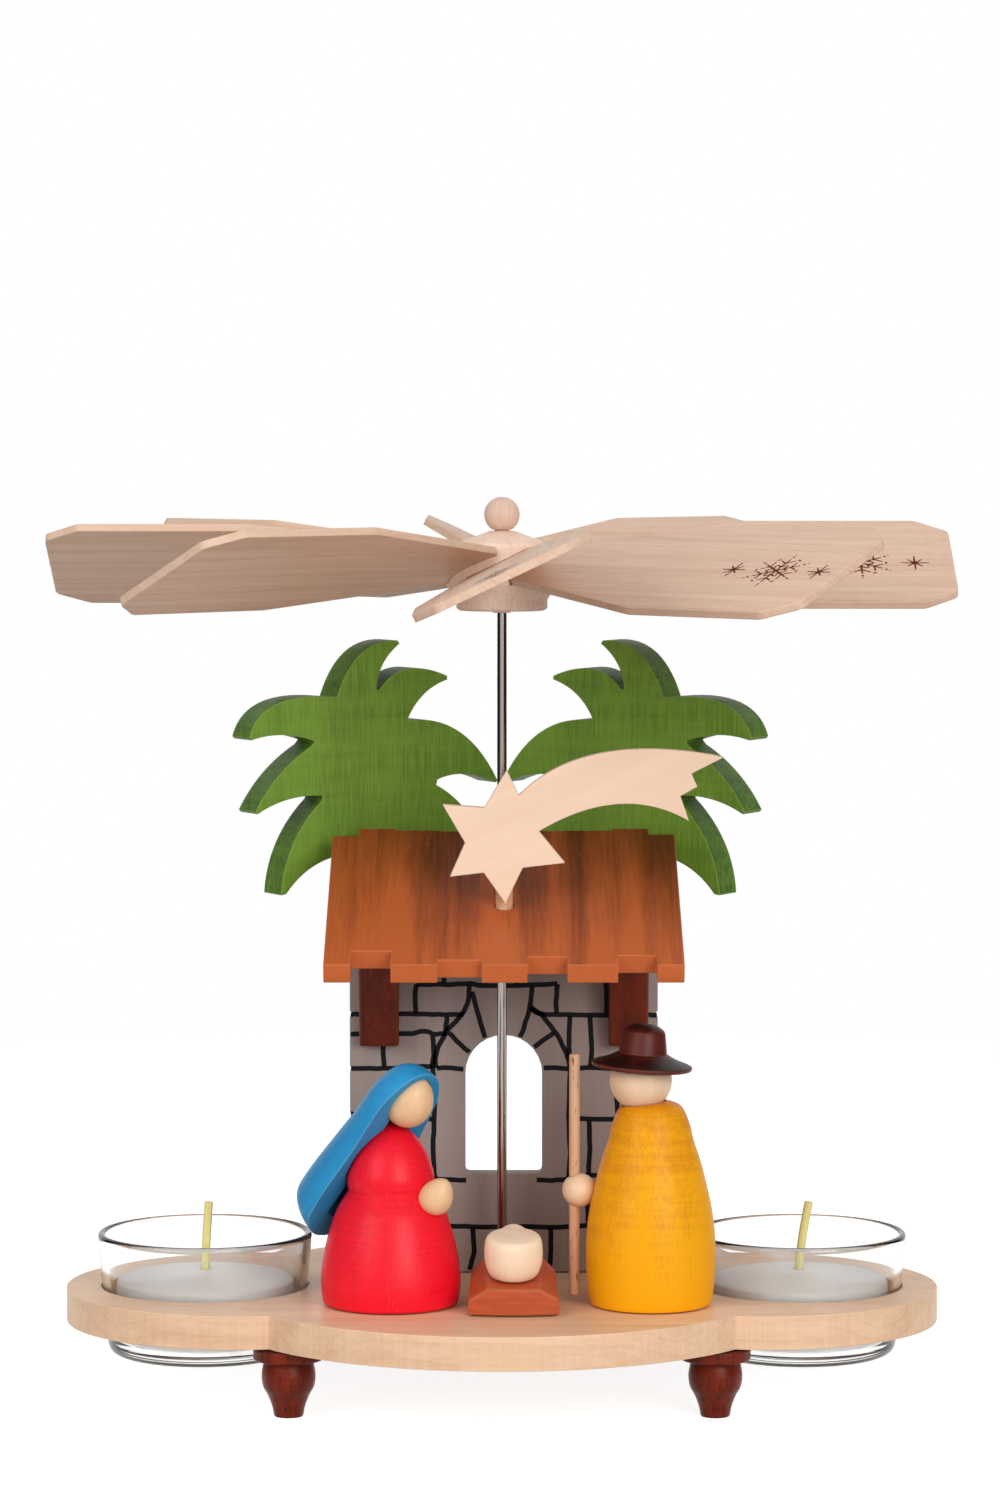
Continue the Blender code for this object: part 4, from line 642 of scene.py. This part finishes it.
knob_radius = 3.7
knob_at = HUB_FOOT + (hub_height + 0.3 + 0.84 * knob_radius) * MM
knob_end = 2.57  # radians from the top of the ball to where its peg begins
ball = [(knob_radius * math.sin(knob_end * i / 24), knob_radius * math.cos(knob_end * i / 24))
        for i in range(25)]
PEG = ((1.5, -3.11), (1.5, -5.5), (0, -5.5))
knob = lathe("turned_knob", sized([*ball, *PEG]), (0, 0, knob_at), steps=64)
fit(knob, woods["knob"], "impeller", "knob")
SHAFT = ((0, 155.7), (1.0, 155.7), (1.0, 2.6), (0, 0))
shaft_foot = 18.5 * MM
fit(lathe("steel_shaft", sized(SHAFT), (0, 0, shaft_foot), steps=32), steel, "impeller", "shaft")
dress(brass, "bearing_cup")
print("the hub has", len(hub.data.polygons), "faces")

# %% [markdown]
# ## The blades
# They are thin beech boards with two corners cut off, and one is glued into each slot. Each new blade
# is an object with its own axes, so that the grain runs along every blade. The corners in the air are
# rounded, and the root in the hub is left square.


# %% Eight blades
def rounded(corners, radius, steps=6):
    """the outline with its corners rounded"""
    line = []
    for before, corner, after in zip([corners[-1], *corners], corners, [*corners[1:], corners[0]]):
        here, back, ahead = Vector(corner), Vector(before), Vector(after)
        back, ahead = back - here, ahead - here
        cut = min(radius / math.tan(back.angle(ahead) / 2), back.length / 2, ahead.length / 2)
        line += bend(here + back.normalized() * cut, here, here + ahead.normalized() * cut, steps)
    return line


BLADE = ((52.0, 18.65), (87.0, 18.65), (94.0, 13.6))  # one side of a blade, millimetres out and across
ROOT = ((8.0, -7.2), (8.0, 7.2))
blade_thick, blade_corner = 1.6 * MM, 2.5 * MM
root = sized(ROOT)
corners = sized([*BLADE, *((x, -y) for x, y in reversed(BLADE))])
root_points = 2 * 7  # a rounded corner has seven points
blade_line = rounded(corners + root, blade_corner)[:-root_points] + root
for number, turn in enumerate(BLADE_TURNS, 1):
    blade = sawn(f"beech_blade_{number}", [blade_line], blade_thick, (0, 0, BLADE_MIDDLE), turn, 0.3 * MM)
    fit(blade, woods["blades"], "impeller", f"blade_{number}")
print("eight blades, pitched by", round(math.degrees(PITCH), 1), "degrees")

# %% [markdown]
# ## Stamped snow crystals
# A row of snow crystals is stamped on the top of each blade in brown ink: a large one with side twigs
# and dots between two plain ones of eight strokes. The strokes are flat slips of ink, half a millimetre
# wide where they begin and a quarter to a third at their tips. A stamp is set by hand, so the row sits
# a millimetre or so further in or out on each blade.

# %% Ink on the blades
INK = 0.83 * MM  # the ink lies just above the face of a blade
ROW_AT, ROW_ACROSS, ROW_STEP = 76.3, -1.0, 11.2  # millimetres out, across, and from crystal to crystal
PLAIN_STROKES = ((3.0, 0.5, 0.26), (2.2, 0.5, 0.26))  # reach, then width at root and tip
ARM = (5.0, 0.55, 0.32)
TWIGS = ((1.6, 1.5, 0.5, 0.32), (3.1, 2.1, 0.45, 0.28))  # the same, after their place on the arm
DOTS = ((5.9, 0.32), (6.8, 0.2))  # millimetres from the heart, and radius
TWIG_DOT = (2.9, 0.26)


def stroke(points, faces, start, end, wide, fine):
    """a slip of ink from start to end, in millimetres on the blade"""
    start, end = Vector(start), Vector(end)
    side = (end - start).orthogonal().normalized() / 2
    first = len(points)
    corners = (start - side * wide, start + side * wide, end + side * fine, end - side * fine)
    points += [(x * MM, y * MM, INK) for x, y in corners]
    faces.append(tuple(range(first, first + 4)))


def spot(points, faces, at, size):
    """a dot of ink with six sides"""
    first = len(points)
    points += [((at[0] + x) * MM, (at[1] + y) * MM, INK) for x, y in arc((0, 0), size, 0, math.tau, 6)[:-1]]
    faces.append(tuple(range(first, first + 6)))


def crystals(points, faces, middle):
    """a large crystal with twigs and dots, and a plain one on each side of it"""
    for at in (middle - ROW_STEP, middle + ROW_STEP):
        heart = Vector((at, ROW_ACROSS))
        for number in range(8):
            reach, *widths = PLAIN_STROKES[number % 2]
            angle = number * math.tau / 8
            out = Vector((math.cos(angle), math.sin(angle)))
            stroke(points, faces, heart, heart + out * reach, *widths)
    heart = Vector((middle, ROW_ACROSS))
    arm, *arm_widths = ARM
    for number in range(6):
        angle = (number + 0.5) * math.tau / 6
        out = Vector((math.cos(angle), math.sin(angle)))
        stroke(points, faces, heart, heart + out * arm, *arm_widths)
        for place, size in DOTS:
            spot(points, faces, heart + out * place, size)
        for way in (-1, 1):
            twig = Vector((math.cos(angle + way), math.sin(angle + way)))
            for place, reach, *widths in TWIGS:
                root = heart + out * place
                stroke(points, faces, root, root + twig * reach, *widths)
            spot(points, faces, root + twig * TWIG_DOT[0], TWIG_DOT[1])


SHIFTS = (0.4, 1.2, -1.6, 0.6, -0.7, 0.9, -0.3, 0.2)  # millimetres
for number, (shift, turn) in enumerate(zip(SHIFTS, BLADE_TURNS), 1):
    points, faces = [], []
    crystals(points, faces, ROW_AT + shift)
    row = mesh_piece(f"stamped_crystals_{number}", points, faces, at=(0, 0, BLADE_MIDDLE), turn=turn)
    fit(row, brown, "impeller")
print(len(faces), "marks of ink on each blade")

# %% [markdown]
# ## Comet star and palms
# Both are fretsaw work. The star's rays are drawn by direction and distance, and its tail is a pair of
# curves. A frond is two curves that meet at a blunt tip, and one outline of seven fronds serves both
# palms, which are mirror images turned towards the back.

# %% Fretsaw pieces
# Degrees from X, and shares of the length of a ray.
RAYS = ((10.0, 0.52), (-23.0, 0.98), (-59.0, 0.53), (-89.0, 0.99), (-120.0, 0.61), (-144.0, 1.0),
        (-172.0, 0.59), (-208.0, 1.04), (-236.0, 0.53), (-272.0, 1.0), (-289.0, 0.66))
TAIL = ((1.0, 0.366), (0.852, 0.291), (0.879, 0.231), (0.802, 0.189), (0.841, 0.075))
TAIL_CURVES = ((0.363, 0.493), (0.537, 0.253))  # control points of the upper and the lower curve
ray_length, comet_length, comet_thick = 13.9 * MM, 45.4, 3.0 * MM
comet_at = (0.5 * MM, -9.1 * MM, DECK + 95.18 * MM)
star = [(share * ray_length * math.cos(math.radians(a)), share * ray_length * math.sin(math.radians(a)))
        for a, share in RAYS]
tail = sized(TAIL, comet_length, comet_length)
upper, lower = sized(TAIL_CURVES, comet_length, comet_length)
star_line = [*star[1:], *bend(star[-1], upper, tail[0], 24)[1:], *tail[1:-1],
             *bend(tail[-1], lower, star[0], 20)]
comet = sawn("sawn_comet", [star_line], comet_thick, comet_at, (math.pi / 2, 0, 0), 0.3 * MM)
fit(comet, woods["comet"], "carousel", "comet_star")

# Root, middle and tip of the first curve, then tip, middle and root of the second, as shares.
FRONDS = (
    ((0.35, 0.55), (0.215, 0.936), (-0.107, 0.917), (-0.122, 0.896), (0.047, 0.774), (0.052, 0.592)),
    ((0.03, 0.592), (-0.138, 0.818), (-0.483, 0.673), (-0.486, 0.648), (-0.278, 0.587), (-0.183, 0.391)),
    ((-0.20, 0.385), (-0.633, 0.414), (-0.875, -0.046), (-0.856, -0.055), (-0.607, 0.057), (-0.41, -0.02)),
    ((-0.40, -0.055), (-0.703, -0.21), (-0.783, -0.569), (-0.758, -0.587), (-0.489, -0.474),
     (-0.214, -0.489)),
    ((0.153, -0.489), (0.524, -0.465), (0.731, -0.734), (0.768, -0.740), (0.745, -0.388), (0.465, -0.127)),
    ((0.455, -0.095), (0.722, -0.073), (0.939, -0.199), (0.954, -0.183), (0.809, 0.081), (0.54, 0.235)),
    ((0.515, 0.265), (0.755, 0.353), (0.985, 0.287), (1.0, 0.303), (0.911, 0.612), (0.37, 0.552)),
)
palm_reach, palm_thick, palm_turn = 32.7, 8.0 * MM, math.radians(30)
palm_x, palm_back, palm_up = 25.3 * MM, 39.0 * MM, 103.7 * MM
both_left = -0.35 * MM  # both crowns stand a little to the left
palm_line = sized([point for root, out, tip, corner, back, end in FRONDS
                   for point in bend(root, out, tip, 14) + bend(corner, back, end, 14)],
                  palm_reach, palm_reach)
for side, x in (("left", -1), ("right", 1)):
    turn = -x * palm_turn
    face = Vector((math.sin(turn), -math.cos(turn), 0))
    middle = Vector((x * palm_x + both_left, palm_back, DECK + palm_up)) - face * palm_thick / 2
    crown = [(x * out, up) for out, up in palm_line]
    palm = sawn(f"sawn_palm_{side}", [crown], palm_thick, middle, (math.pi / 2, 0, turn), 0.5 * MM)
    fit(palm, woods["palms"], "carousel", f"palm_crown_{side}")
print("a comet", round(comet.dimensions.x / MM, 1), "mm long and two palms")

# %% [markdown]
# ## The woman
# The figures are skittles: turned bodies with ball heads, and no faces. The seats that the CAD bodies
# have for heads and hands stay hidden under them, so the new bodies are plain turned shapes with a
# scoop cut for each head. Her body is two smooth lines that meet at the waist, and her head is an egg
# that nods towards the child.

# %% The woman
# Shares of the hem's radius and of the height of the shoulders.
BUST = ((0.0, 1.0), (0.28, 0.941), (0.50, 0.838), (0.612, 0.72), (0.622, 0.66), (0.60, 0.618))
SKIRT = ((0.60, 0.618), (0.655, 0.586), (0.79, 0.495), (0.93, 0.323), (1.0, 0.15), (0.98, 0.027),
         (0.945, 0.0))
hem, shoulders = 14.35, 37.8
woman_at = Vector((-22.85 * MM, -22.8 * MM, 0))
woman_foot = woman_at + Vector((0, 0, FLOOR))
woman_line = [*through(sized(BUST, hem, shoulders)), *through(sized(SKIRT, hem, shoulders))[1:], (0, 0)]
body = lathe("turned_woman", woman_line, woman_foot)
facing = math.radians(43)
ahead = Vector((math.cos(facing), -math.sin(facing), 0))
woman_head_at = woman_at + ahead * 5.4 * MM + Vector((0, 0, DECK + 42.6 * MM))
nod = (0, math.radians(36), -facing)


def woman_head(name, room_mm=0.0):
    """her head, or the room that it needs in another piece"""
    return egg(name, 5.0 + room_mm, 11.4 + 2 * room_mm, 0.12, woman_head_at, nod)


scoop(body, woman_head("cutter", 0.3))
fit(woman_head("turned_woman_head"), woods["maple heads"], "carousel", "woman_head")
hand_turn = math.radians(-35)
hand_at = woman_at + Vector((math.cos(hand_turn), math.sin(hand_turn), 0)) * 11.78 * MM
hand_at.z = DECK + 23.5 * MM
hand = egg("turned_woman_hand", 3.4, 8.2, 0.24, hand_at, nod)
fit(hand, woods["maple heads"], "carousel", "woman_hand")
fit(body, woods["woman's dress"], "carousel", "woman_body")
print("the middle of her head is", round((woman_head_at.z - DECK) / MM, 1), "mm above the deck")

# %% [markdown]
# ## The veil
# It is half of a turned bell. The bell was turned on the axis of the head, sawn in two along it and
# bored out, so that it sits on the head and down the back. Each row of the mesh is half an ellipse,
# listed as its place along the bell, its reach to each side and its reach to the back, in shares of the
# bell's length. Then the bore, the body and the head are cut out of it.

# %% Half a bell
BELL = ((0, 0, 0), (0.013, 0.058, 0.076), (0.042, 0.103, 0.126), (0.088, 0.144, 0.158),
        (0.141, 0.174, 0.176), (0.196, 0.194, 0.185), (0.284, 0.205, 0.194), (0.372, 0.211, 0.202),
        (0.460, 0.221, 0.216), (0.548, 0.236, 0.228), (0.637, 0.252, 0.240), (0.725, 0.264, 0.251),
        (0.813, 0.267, 0.261), (0.860, 0.262, 0.264), (0.890, 0.248, 0.258), (0.925, 0.222, 0.232),
        (0.960, 0.184, 0.192), (0.985, 0.140, 0.146), (0.998, 0.076, 0.080), (1, 0, 0))
BORE = ((0, 0), (2.6, 0), (6.6, -30), (0, -33.3))
bell_length, bell_crown, bell_lead = 44.1 * MM, 7.4 * MM, 0.35 * MM
ring = 41  # points in each half ellipse
bell_rows = through(BELL, 4)
top = Vector((bell_lead, 0, bell_crown))
points = [top]
for along, side, back in bell_rows[1:-1]:
    for out, way in arc((0, 0), 1, -math.pi / 2, math.pi / 2, ring - 1):
        points.append(top + Vector((-back * out, side * way, -along)) * bell_length)
points.append(Vector((bell_lead, 0, bell_crown - bell_length)))
last = len(points) - 1
rows = [[1 + ring * r + k for k in range(ring)] for r in range(len(bell_rows) - 2)]
faces = [(upper[k], upper[k - 1], lower[k - 1], lower[k])
         for upper, lower in zip(rows, rows[1:]) for k in range(ring)]
faces += [(0, rows[0][k - 1], rows[0][k]) for k in range(ring)]
faces += [(last, rows[-1][k], rows[-1][k - 1]) for k in range(ring)]
veil = mesh_piece("turned_veil", points, faces, at=woman_head_at, turn=nod)
scoop(veil, lathe("cutter", sized(BORE), woman_head_at, nod, 64))
roomy = [(r + 0.3 * MM, z + 0.2 * MM) for r, z in woman_line[1:-1]]
scoop(veil, lathe("cutter", [(0, 38.1 * MM), *roomy, (14 * MM, -1 * MM), (0, -1 * MM)], woman_foot))
scoop(veil, woman_head("cutter", 0.2))
fit(veil, woods["veil"], "carousel", "woman_veil")
print("the veil has", len(veil.data.polygons), "faces")

# %% [markdown]
# ## The man
# His coat is one turned cone that swells to the hem. His head is a ball with a flat on top, which the
# hat sits on, and the two are tilted together. His hand is a smaller ball with a hole for the staff, a
# dowel with its ends rounded off.

# %% The man, with his hat and staff
# Shares of the hem's radius and of the height of the shoulders, then of the hat's brim and height.
COAT = ((0.25, 1.0), (0.47, 0.97), (0.60, 0.882), (0.655, 0.807), (0.77, 0.697), (0.86, 0.585),
        (0.935, 0.477), (0.983, 0.365), (1.0, 0.25), (0.985, 0.12), (0.95, 0.03), (0.92, 0.0))
CROWN = ((0.0, 1.0), (0.22, 0.975), (0.38, 0.88), (0.425, 0.80), (0.485, 0.36))
BRIM = ((0.485, 0.36), (0.70, 0.24), (0.97, 0.135), (1.0, 0.085), (0.97, 0.03), (0.8, 0.0))
coat_hem, coat_height, brim_radius, hat_height = 13.35, 41.9, 10.3, 9.4
man_at = Vector((30.566 * MM, -23.3 * MM, 0))
coat_line = [(0, coat_height * MM), *through(sized(COAT, coat_hem, coat_height)), (0, 0)]
body = lathe("turned_man", coat_line, man_at + Vector((0, 0, FLOOR)))
head_at = man_at + Vector((-2.1 * MM, 0, DECK + 46.4 * MM))
scoop(body, egg("cutter", 6.7, 13.4, 0.0, head_at))
fit(body, woods["man's coat"], "carousel", "man_body")

head_radius, head_flat = 6.4, 1.9
tilt = (0, math.radians(4), 0)
top_turn = math.acos(head_flat / head_radius)
turns = [top_turn + (math.pi - top_turn) * i / 24 for i in range(24)]
ball = [(head_radius * math.sin(a), head_radius * math.cos(a)) for a in turns]
head = lathe("turned_man_head", sized([(0, head_flat), *ball, (0, -head_radius)]), head_at, tilt, 64)
fit(head, woods["maple balls"], "carousel", "man_head")

crown = sized(CROWN, brim_radius, hat_height)
brim = through(sized(BRIM, brim_radius, hat_height))
hat_line = [*through(crown[:4])[:-1], *crown[3:], *brim[1:], (0, 0)]
lift = Euler(tilt).to_matrix() @ Vector((0, 0, 2.2 * MM))
fit(lathe("turned_hat", hat_line, head_at + lift, tilt), woods["hat"], "carousel", "man_hat")

outward = Vector((math.cos(math.radians(171)), math.sin(math.radians(171)), 0))
hand_at = man_at + outward * 14.85 * MM + Vector((0, 0, DECK + 23.3 * MM))
hand = egg("turned_man_hand", 3.5, 7.0, 0.0, hand_at)
staff_at = hand_at + outward * 1.0 * MM
staff_at.z = DECK + 1.5 * MM
scoop(hand, lathe("cutter", rod(1.4, 5, 40), staff_at, steps=32))
fit(hand, woods["maple balls"], "carousel", "man_hand")
STAFF = ((0, 49.9), (0.9, 49.9), (1.1, 49.7), (1.1, 0.2), (0.9, 0), (0, 0))
fit(lathe("beech_staff", sized(STAFF), staff_at, steps=32), woods["staff"], "carousel", "man_staff")
print("the hat is", round(2 * brim_radius, 1), "mm across")

# %% [markdown]
# ## The child
# It is a short turned peg that leans in the crib, with a ball for a head. The crib gets a hollow of the
# same outline, a quarter of a millimetre wider, so that the child lies in it and doesn't cut through.

# %% The child in its crib
CHILD = ((0.77, 1.0), (0.87, 0.98), (0.94, 0.93), (0.99, 0.82), (1.01, 0.66), (1.01, 0.48),
         (0.98, 0.32), (0.91, 0.16), (0.80, 0.04), (0.66, 0.0))
child_radius, child_length, crib_room = 5.87, 8.7, 0.25
child_place = ((2.35 * MM, -31.9 * MM, DECK + 7.4 * MM), (math.radians(11), 0, 0), 64)
peg = through(sized(CHILD, child_radius, child_length))
child_line = [(0, child_length * MM), *peg, (0, 0)]
fit(lathe("turned_child", child_line, *child_place), woods["child"], "carousel", "child_body")
hollow = [(0, 8.9 * MM), *[(r + crib_room * MM, z) for r, z in peg], (0, -crib_room * MM)]
scoop(crib, lathe("cutter", hollow, *child_place), FLAT)
head = egg("turned_child_head", 3.5, 7.0, 0.0, (2.35 * MM, -23.0 * MM, 34.3 * MM))
fit(head, woods["child"], "carousel", "child_head")
print("the child is", round(2 * child_radius, 1), "mm wide")

# %% [markdown]
# ## The stable's masonry
# The wall is one painted board. Its masonry is printed on: black joints a millimetre wide that wander a
# little, with a ring of arch stones round the window. Each joint is a thin ribbon of ink, laid a few
# hundredths of a millimetre in front of the paint, because a drawn line stays sharp at any distance.
# Places are millimetres to the right of the shaft and above the table.


# %% Printed joints
def ribbon(line, width, ragged=0.35):
    """the two edges of an inked line, in millimetres, a little uneven"""
    line = [Vector(point) for point in through(line, 5)]
    left, right = [], []
    for i, point in enumerate(line):
        along = (line[min(i + 1, len(line) - 1)] - line[max(i - 1, 0)]).normalized()
        side = Vector((-along.y, along.x)) * width / 2
        rough = noise.noise(Vector((point.x * 0.6, point.y * 0.6, 3.7))) * ragged
        left.append(point + side * (1 + rough))
        right.append(point - side * (1 - rough))
    return left, right


JOINTS = (
    ((-32.1, 76.8), (-26.0, 76.6), (-19.5, 76.9), (-12.0, 76.7), (-8.1, 76.8)),
    ((-18.1, 83.2), (-12.0, 83.1), (-6.9, 83.3), (-4.0, 82.9), (5.5, 83.0), (11.8, 83.3)),
    ((-18.1, 83.2), (-18.4, 80.0), (-18.2, 77.0)),
    ((-6.9, 83.0), (-7.2, 79.4), (-8.6, 76.6), (-10.4, 74.6), (-12.0, 72.6), (-13.4, 70.0),
     (-14.1, 67.4), (-14.0, 65.2)),
    ((-6.3, 81.6), (-4.8, 76.0), (-3.5, 71.8)),
    ((-11.2, 72.9), (-9.0, 70.5), (-6.9, 68.6)),
    ((-13.8, 65.3), (-11.0, 65.3), (-8.2, 64.9)),
    ((-32.1, 72.5), (-27.0, 72.7), (-20.0, 72.6), (-16.2, 73.2), (-14.2, 72.5), (-11.8, 72.8)),
    ((-11.7, 76.2), (-11.9, 73.2)),
    ((-14.6, 72.2), (-14.5, 68.0), (-14.7, 65.6), (-14.2, 59.0), (-14.6, 50.0), (-14.3, 41.8)),
    ((-25.3, 72.3), (-25.1, 65.6)),
    ((-32.1, 65.2), (-25.0, 65.2), (-20.0, 65.5), (-14.8, 65.7)),
    ((-32.1, 55.4), (-26.0, 55.2), (-20.0, 55.4), (-14.8, 54.2)),
    ((-22.4, 55.0), (-22.0, 48.0), (-22.3, 42.0)),
    ((-32.1, 42.0), (-24.0, 41.8), (-14.0, 41.5), (-7.6, 41.2)),
    ((7.4, 41.3), (11.0, 41.2), (14.0, 41.5), (20.0, 42.3), (32.9, 42.0)),
    ((3.9, 71.9), (5.0, 75.0), (6.0, 78.6), (6.4, 82.8)),
    ((6.0, 78.4), (8.4, 76.6), (10.6, 74.0), (12.4, 71.2), (13.8, 68.0), (14.5, 65.2)),
    ((6.8, 69.8), (8.8, 71.2), (11.0, 72.8)),
    ((8.9, 65.3), (11.0, 65.4), (14.5, 65.2), (18.9, 65.4), (26.0, 65.2), (32.9, 65.4)),
    ((6.2, 78.0), (8.0, 76.9), (12.0, 76.7), (22.7, 76.6), (28.0, 76.8), (32.9, 76.5)),
    ((11.8, 83.2), (11.6, 80.0), (11.7, 77.0)),
    ((14.4, 76.4), (14.2, 70.0), (14.5, 65.4), (14.2, 55.0), (14.5, 47.0), (14.2, 41.6)),
    ((18.7, 76.3), (19.1, 70.0), (18.9, 65.7)),
    ((14.6, 54.6), (18.0, 54.4), (24.0, 54.3), (32.9, 54.6)),
    ((18.5, 54.0), (18.7, 48.0), (18.4, 42.4)),
    ((24.7, 65.0), (24.4, 60.0), (24.7, 54.6)),
    ((-32.1, 31.0), (-20.0, 31.4), (-9.5, 31.4), (-3.0, 31.2), (3.0, 31.3), (12.0, 31.2),
     (20.0, 31.5), (32.9, 31.2)),
    ((-6.2, 31.0), (-6.0, 26.0), (-6.8, 22.0)),
    ((10.4, 31.0), (10.4, 26.0), (10.2, 21.8)),
    ((18.4, 41.0), (18.2, 36.0), (18.4, 31.6)),
    ((-16.0, 41.4), (-16.2, 36.0), (-15.9, 31.4)),
    ((-27.0, 31.0), (-26.8, 26.0), (-27.0, 21.8)),
    ((25.5, 31.0), (25.3, 26.0), (25.5, 21.8)),
    ((-32.1, 89.8), (-22.0, 90.0), (-10.0, 89.7), (4.0, 90.0), (18.0, 89.8), (32.9, 90.0)),
    ((-26.0, 89.6), (-25.8, 77.0)), ((3.0, 89.8), (3.2, 83.2)), ((-12.5, 89.6), (-12.3, 83.4)),
    ((22.0, 89.7), (22.2, 77.0)), ((-32.1, 97.2), (-15.0, 97.0), (2.0, 97.2), (20.0, 97.0), (32.9, 97.2)),
    ((-18.0, 97.0), (-18.2, 90.2)), ((-4.0, 97.0), (-3.8, 90.2)), ((12.0, 97.0), (12.2, 90.2)),
    ((26.5, 97.0), (26.3, 90.2)), ((-9.0, 103.0), (-9.1, 97.4)), ((8.0, 103.0), (8.2, 97.4)),
    ((-25.0, 103.0), (-25.1, 97.4)), ((24.0, 103.0), (24.1, 97.4)),
)
WALL_FACES = (12.96, 18.04)  # millimetres behind the shaft, 0.04 outside the wall's front and back
joint_width = 1.05
points, faces = [], []
for y in WALL_FACES:
    for joint in JOINTS:
        left, right = ribbon(joint, joint_width)
        first = len(points)
        for a, b in zip(left, right):
            points += [(a.x * MM, y * MM, a.y * MM), (b.x * MM, y * MM, b.y * MM)]
        starts = [first + 2 * i for i in range(len(left) - 1)]
        faces += [(start, start + 1, start + 3, start + 2) for start in starts]
fit(mesh_piece("printed_joints", points, faces), black, "carousel")
print(len(JOINTS), "joints on each side of the wall")

# %% [markdown]
# ## The camera
# The picture was taken with a long lens from a metre away, a little higher than the knob and tilted
# down by four degrees. Its place comes from the ellipse of the board and from the standard size of the
# tealights.

# %% The camera
view = bpy.data.cameras.new("camera")
view.sensor_fit = "VERTICAL"
view.sensor_height = 36.0
view.lens = 116.0
camera_at, camera_tilt = (-0.4 * MM, -1.0073, 0.2015), 3.84
camera = put("camera", view, camera_at, (math.radians(90 - camera_tilt), 0, 0))
bpy.context.scene.camera = camera
print("camera at", [round(v, 3) for v in camera.location])

# %% [markdown]
# ## The tent
# The studio is a white tent: light comes from everywhere, somewhat more from above. The camera always
# sees it white. Its sides are dark to steel and glass, because a photographer stands black boards
# there: they draw the dark edges that make clear glass show. Where the tent only lights the wood it is
# a dimmer grey, so that colours come out as they are written.


# %% The world
def seen_directly(tree):
    """one for what the camera, a mirror or clear glass shows, and zero for what only gives light"""
    path = add(tree, "LightPath").outputs
    shown = add(tree, "Math", (path["Is Camera Ray"], path["Is Glossy Ray"]), operation="ADD").outputs[0]
    return add(tree, "Math", (shown, path["Is Transmission Ray"]), operation="ADD", use_clamp=True).outputs[0]


world = bpy.data.worlds.new("white tent with dark sides")
world.use_nodes = True
bpy.context.scene.world = world
tree = world.node_tree
tree.nodes.clear()
way = add(tree, "SeparateXYZ", (add(tree, "TexCoord").outputs["Generated"],))
sideways = add(tree, "Math", (way.outputs["X"],), operation="ABSOLUTE").outputs[0]
# White up to 35 degrees to the side, and nearly black from 46 degrees on.
boards = add(tree, "MapRange", (sideways, 0.58, 0.72, 1.0, 0.03)).outputs[0]
shown = add(tree, "Math", (add(tree, "LightPath").outputs["Is Camera Ray"], boards),
            operation="MAXIMUM").outputs[0]
# The light that falls on the wood, from a little below the horizon to straight above.
soft = add(tree, "MapRange", (way.outputs["Z"], -0.2, 1.0, 0.4, 0.66)).outputs[0]
strength = add(tree, "Mix", {0: seen_directly(tree), 2: soft, 3: shown}).outputs[0]
tent = add(tree, "Background", {"Color": (1, 1, 1, 1), "Strength": strength})
add(tree, "OutputWorld", {"Surface": tent.outputs[0]})
print("the tent has", len(tree.nodes), "nodes")

# %% [markdown]
# ## Lamps and floor
# Two softboxes stand in front, the stronger on the right, and give the turned pieces their highlights.
# The floor is a sheet of white paper. It glows towards the camera, so that it comes out white and still
# keeps the shadow of the carousel, and it fades into the tent, so that it has no far edge.


# %% The lamps and the paper
def softbox(name, size, watts, at, aim=(0, 0, 0.08)):
    """a square lamp that points at the carousel"""
    lamp = bpy.data.lights.new(name, "AREA")
    lamp.size = size
    lamp.energy = watts
    put(name, lamp, at, (Vector(aim) - Vector(at)).to_track_quat("-Z", "Y").to_euler())


softbox("front left softbox", 0.7, 5.4, (-0.9, -1.0, 0.66))
softbox("front right softbox", 0.7, 9.6, (0.62, -1.25, 0.48))

reach, fade_start, fade_end = 0.7, 0.25, 0.6  # metres from the shaft
sheet = [(-reach, -reach, 0), (reach, -reach, 0), (reach, reach, 0), (-reach, reach, 0)]
floor = mesh_piece("floor", sheet, [(0, 1, 2, 3)])
look, tree = blank("white paper", "none")
matt = add(tree, "BsdfDiffuse", {"Color": (0.5, 0.5, 0.5, 1)}).outputs[0]
glow = add(tree, "Emission", {"Color": (1, 1, 1, 1), "Strength": 0.86}).outputs[0]
paper = add(tree, "AddShader", (matt, glow)).outputs[0]
clear = add(tree, "BsdfTransparent").outputs[0]
far = add(tree, "VectorMath", (add(tree, "TexCoord").outputs["Object"],), operation="LENGTH")
fade = add(tree, "MapRange", (far.outputs["Value"], fade_start, fade_end)).outputs[0]
faded = add(tree, "MixShader", (fade, paper, clear)).outputs[0]
kept = add(tree, "MixShader", (seen_directly(tree), matt, faded)).outputs[0]
add(tree, "OutputMaterial", {"Surface": kept})
floor.data.materials.append(look)
print("the paper fades out", round(fade_end / MM), "mm from the shaft")

# %% [markdown]
# ## Finish
# The picture is kept without a film curve, so that colours stay as written.

# %% Finish
bpy.context.scene.view_settings.view_transform = "Standard"
bpy.context.view_layer.update()
